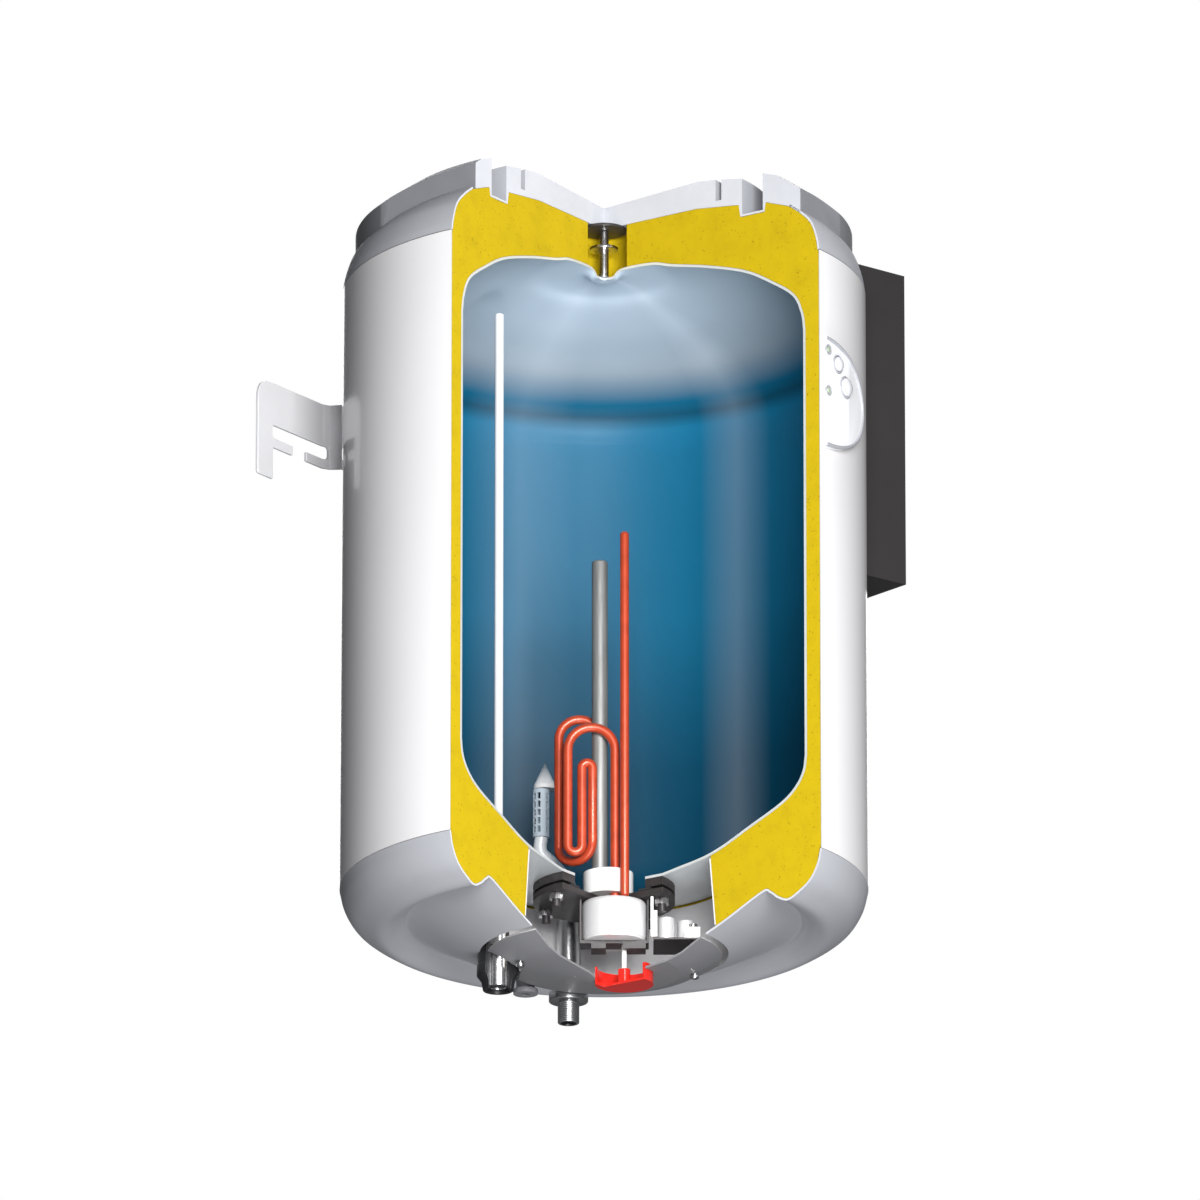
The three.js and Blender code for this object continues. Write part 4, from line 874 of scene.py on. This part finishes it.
class HEATER_OT_top_fixing(bpy.types.Operator):
    """Build the stud between the tank's crown and the lid, with its washer and clip"""
    bl_idname = "heater.top_fixing"
    bl_label = "Top fixing"

    def execute(self, context):
        for name, node, finish, slot in (
                ("stud_rod", "top_stud", "zinc", "zinc_steel"), ("lid_washer", "top_washer", "dark", "dark_steel"),
                ("stud_clip_disc", "stud_clip", "zinc", "zinc_steel")):
            radius = {"top_stud": 4.6, "top_washer": 22, "stud_clip": 14}[node]
            z0, z1 = heights_of(node)
            bore = 4.9 if node == "stud_clip" else 0
            profile = pipe_profile(radius, bore, z0, z1, 0.4) if bore else rod_profile(radius, z0, z1, 0.5)
            settle(turned(name, profile, [finish], (0, 0), 48), [node])
        return {"FINISHED"}


class HEATER_OT_bracket(bpy.types.Operator):
    """Give the wall bracket rounded edges and paint, and the wall buffer its rubber"""
    bl_idname = "heater.bracket"
    bl_label = "Wall bracket"

    def execute(self, context):
        settle(from_node("bracket_band", "wall_bracket", ["bracket"], 0.8), ["wall_bracket"])
        settle(from_node("buffer_block", "wall_buffer", ["rubber"], 1.5), ["wall_buffer"])
        return {"FINISHED"}


class HEATER_OT_panel(bpy.types.Operator):
    """Build the oval control panel with its rim, its two domed buttons in their wells, and its two lamps"""
    bl_idname = "heater.panel"
    bl_label = "Control panel"

    def execute(self, context):
        settle(from_node("panel_plate", "control_panel", ["panel"], 1.2), ["control_panel"])
        rim = self.wrapped_ring("panel_rim", 0, PANEL_MIDDLE, 82.2, 53.2, 2.0, "rim", half=True)
        settle(rim)
        for node, x, z, radius, dome, body, finish, slot in (
                ("button_upper", 22.5, 486, 7, 4.5, "upper_button", "button", "button_plastic"),
                ("button_lower", 38, 467, 9, 5.5, "lower_button", "button", "button_plastic"),
                ("lamp_upper", 5, 496, 3, 1.2, SHELL, "lens", "lamp_lens"),
                ("lamp_lower", 5, 455, 3, 1.2, SHELL, "lens", "lamp_lens")):
            settle(self.domed(node + "_dome", x, z, radius, dome, finish), [node], body)
            well = self.wrapped_ring(node + "_well", x, z, radius + 1.5, radius + 1.5, 0.9, "rim")
            settle(well)
        return {"FINISHED"}

    @staticmethod
    def wrapped_ring(name, x, z, half_width, half_height, thickness, finish, half=False):
        """A round bead along an ellipse laid on the panel's face and bent to its arc."""
        face = R + GAP + 6.5
        if half:
            t = np.linspace(-np.pi / 2 + 0.02, np.pi / 2 - 0.02, 80)
        else:
            t = np.linspace(0, 2 * np.pi, 49)
        across, up = x + half_width * np.cos(t), z + half_height * np.sin(t)
        depth = face - thickness * 0.45
        path = np.column_stack([across, -np.sqrt(depth ** 2 - across ** 2), up])
        return swept(name, path, thickness, (0, 1, 0.01), [finish], 12, looped=not half)

    @staticmethod
    def domed(name, x, z, radius, dome, finish):
        """A disc with a crown, an ellipse in section, turned to face out of the casing."""
        outer = R + 6.8
        angle = math.asin(x / outer)
        t = np.linspace(0, np.pi / 2, 14)
        profile = np.vstack([[(0, -3.6), (radius, -3.6)],
                             np.column_stack([radius * np.cos(t), dome * np.sin(t) ** 0.9])])
        vertices, faces, _, _ = turned_mesh(profile, 0, 360, 40)
        out = np.array([math.sin(angle), -math.cos(angle), 0])
        across = np.array([math.cos(angle), math.sin(angle), 0])
        up = np.array([0, 0, 1.0])
        placed = (out * outer + up * z + vertices[:, 2:3] * out + vertices[:, 0:1] * across
                  + vertices[:, 1:2] * up)
        return make_object(name, in_frame(placed), faces, [finish])


class HEATER_OT_housing(bpy.types.Operator):
    """Give the side housing soft edges and a grained finish, and the board inside its laminate"""
    bl_idname = "heater.housing"
    bl_label = "Side housing"

    def execute(self, context):
        settle(from_node("housing_case", "side_housing", ["housing"], 1.5), ["side_housing"])
        settle(from_node("board_plate", "control_board", ["board"], 0.2), ["control_board"])
        return {"FINISHED"}


# name, plan angle and rise in degrees, distance and side in metres, power in watts
LIGHTS = (
    ("front", -136, -4, 3.2, 1.3, 178),
    ("key", -84, 8, 2.8, 0.8, 10),
    ("below", -132, -58, 3.0, 1.6, 46),
    ("rim", 35, 25, 2.8, 1.6, 20),
    ("top", -20, 70, 3.0, 2.0, 26),
)
VIEW_CENTRE = (-2.2, 3.1, 290.5)
VIEW_AZIMUTH, VIEW_ELEVATION = -54.8, -17.2
FLOOR_RADIUS, FLOOR_Z, FLOOR_SIDES = 30, -5.4, 64


class HEATER_OT_stage(bpy.types.Operator):
    """Build the floor, the lights, the world and the camera"""
    bl_idname = "heater.stage"
    bl_label = "Stage"

    def execute(self, context):
        scene = context.scene
        scene.view_settings.view_transform = "Standard"
        middle = Vector(in_frame(VIEW_CENTRE))
        azimuth, elevation = math.radians(VIEW_AZIMUTH), math.radians(VIEW_ELEVATION)
        back = Vector((math.sin(azimuth) * math.cos(elevation), -math.cos(azimuth) * math.cos(elevation),
                       math.sin(elevation)))
        camera = bpy.data.objects.new("camera", bpy.data.cameras.new("camera"))
        camera.data.lens = 500
        camera.location = middle + back * sizes().camera_distance
        camera.rotation_mode = "QUATERNION"
        camera.rotation_quaternion = (-back).to_track_quat("-Z", "Y")
        camera.data.clip_end = 100
        context.collection.objects.link(camera)
        scene.camera = camera
        self.floor(context)
        self.world(scene)
        for name, angle, rise, distance, size, power in LIGHTS:
            self.area(context, name, middle, angle, rise, distance, size, power)
        return {"FINISHED"}

    @staticmethod
    def floor(context):
        """A wide flat disc, far below the hanging heater."""
        a = np.linspace(0, 2 * np.pi, FLOOR_SIDES, endpoint=False)
        ring = np.column_stack([
            FLOOR_RADIUS * np.cos(a), FLOOR_RADIUS * np.sin(a), np.full(FLOOR_SIDES, FLOOR_Z)])
        mesh = bpy.data.meshes.new("floor")
        mesh.from_pydata(ring.tolist(), [], [list(range(FLOOR_SIDES))])
        pale, tree, shader = shader_of("pale_floor", (0.86, 0.86, 0.86), 0.7)
        soft = noise(tree, object_coordinates(tree), 0.8, 2.0)
        tree.links.new(ramp(tree, soft, [(0.3, (0.84,) * 3), (0.7, (0.88,) * 3)]), shader.inputs["Base Color"])
        mesh.materials.append(pale)
        floor = bpy.data.objects.new("floor", mesh)
        context.collection.objects.link(floor)

    @staticmethod
    def world(scene):
        """White to look at, and a dimmer grey as light, so that the shapes keep their shading."""
        world = bpy.data.worlds.new("studio")
        world.use_nodes = True
        tree = world.node_tree
        tree.nodes.clear()
        seen, light = (tree.nodes.new("ShaderNodeBackground") for _ in range(2))
        seen.inputs["Color"].default_value = (1, 1, 1, 1)
        light.inputs["Color"].default_value = (0.93, 0.95, 1, 1)
        light.inputs["Strength"].default_value = 0.09
        rays, mix = tree.nodes.new("ShaderNodeLightPath"), tree.nodes.new("ShaderNodeMixShader")
        out = tree.nodes.new("ShaderNodeOutputWorld")
        tree.links.new(rays.outputs["Is Camera Ray"], mix.inputs[0])
        tree.links.new(light.outputs[0], mix.inputs[1])
        tree.links.new(seen.outputs[0], mix.inputs[2])
        tree.links.new(mix.outputs[0], out.inputs["Surface"])
        scene.world = world

    @staticmethod
    def area(context, name, middle, angle, rise, distance, size, power):
        """A soft square light at a plan angle and rise about the middle, facing it."""
        a, e = math.radians(angle), math.radians(rise)
        out = Vector((math.cos(a) * math.cos(e), math.sin(a) * math.cos(e), math.sin(e)))
        data = bpy.data.lights.new(name, "AREA")
        data.energy = power
        data.size = size
        lamp = bpy.data.objects.new(name, data)
        lamp.location = middle + out * distance
        lamp.rotation_mode = "QUATERNION"
        lamp.rotation_quaternion = out.to_track_quat("Z", "Y")
        context.collection.objects.link(lamp)


OPERATORS = (
    HEATER_OT_casing, HEATER_OT_lid, HEATER_OT_lower_cap, HEATER_OT_foam, HEATER_OT_tank, HEATER_OT_cover,
    HEATER_OT_flange, HEATER_OT_element, HEATER_OT_thermostat, HEATER_OT_terminals, HEATER_OT_pipes,
    HEATER_OT_top_fixing, HEATER_OT_bracket, HEATER_OT_panel, HEATER_OT_housing, HEATER_OT_stage,
)


class HEATER_PT_panel(bpy.types.Panel):
    """Lists the heater's pieces, colours and sizes"""
    bl_idname = "HEATER_PT_panel"
    bl_label = "Water Heater"
    bl_space_type = "VIEW_3D"
    bl_region_type = "UI"
    bl_category = "Heater"

    def draw(self, context):
        for settings in (context.scene.heater_colours, context.scene.heater_sizes):
            for name in settings.bl_rna.properties.keys():
                if name not in ("rna_type", "name"):
                    self.layout.prop(settings, name)
        for operator in OPERATORS:
            self.layout.operator(operator.bl_idname)


CLASSES = (HeaterColours, HeaterSizes, *OPERATORS, HEATER_PT_panel)


def register():
    for entry in CLASSES:
        bpy.utils.register_class(entry)
    bpy.types.Scene.heater_colours = bpy.props.PointerProperty(type=HeaterColours)
    bpy.types.Scene.heater_sizes = bpy.props.PointerProperty(type=HeaterSizes)


def unregister():
    del bpy.types.Scene.heater_sizes
    del bpy.types.Scene.heater_colours
    for entry in reversed(CLASSES):
        bpy.utils.unregister_class(entry)


def main():
    register()
    for operator in OPERATORS:
        group, name = operator.bl_idname.split(".")
        getattr(getattr(bpy.ops, group), name)()


if __name__ == "__main__":
    main()
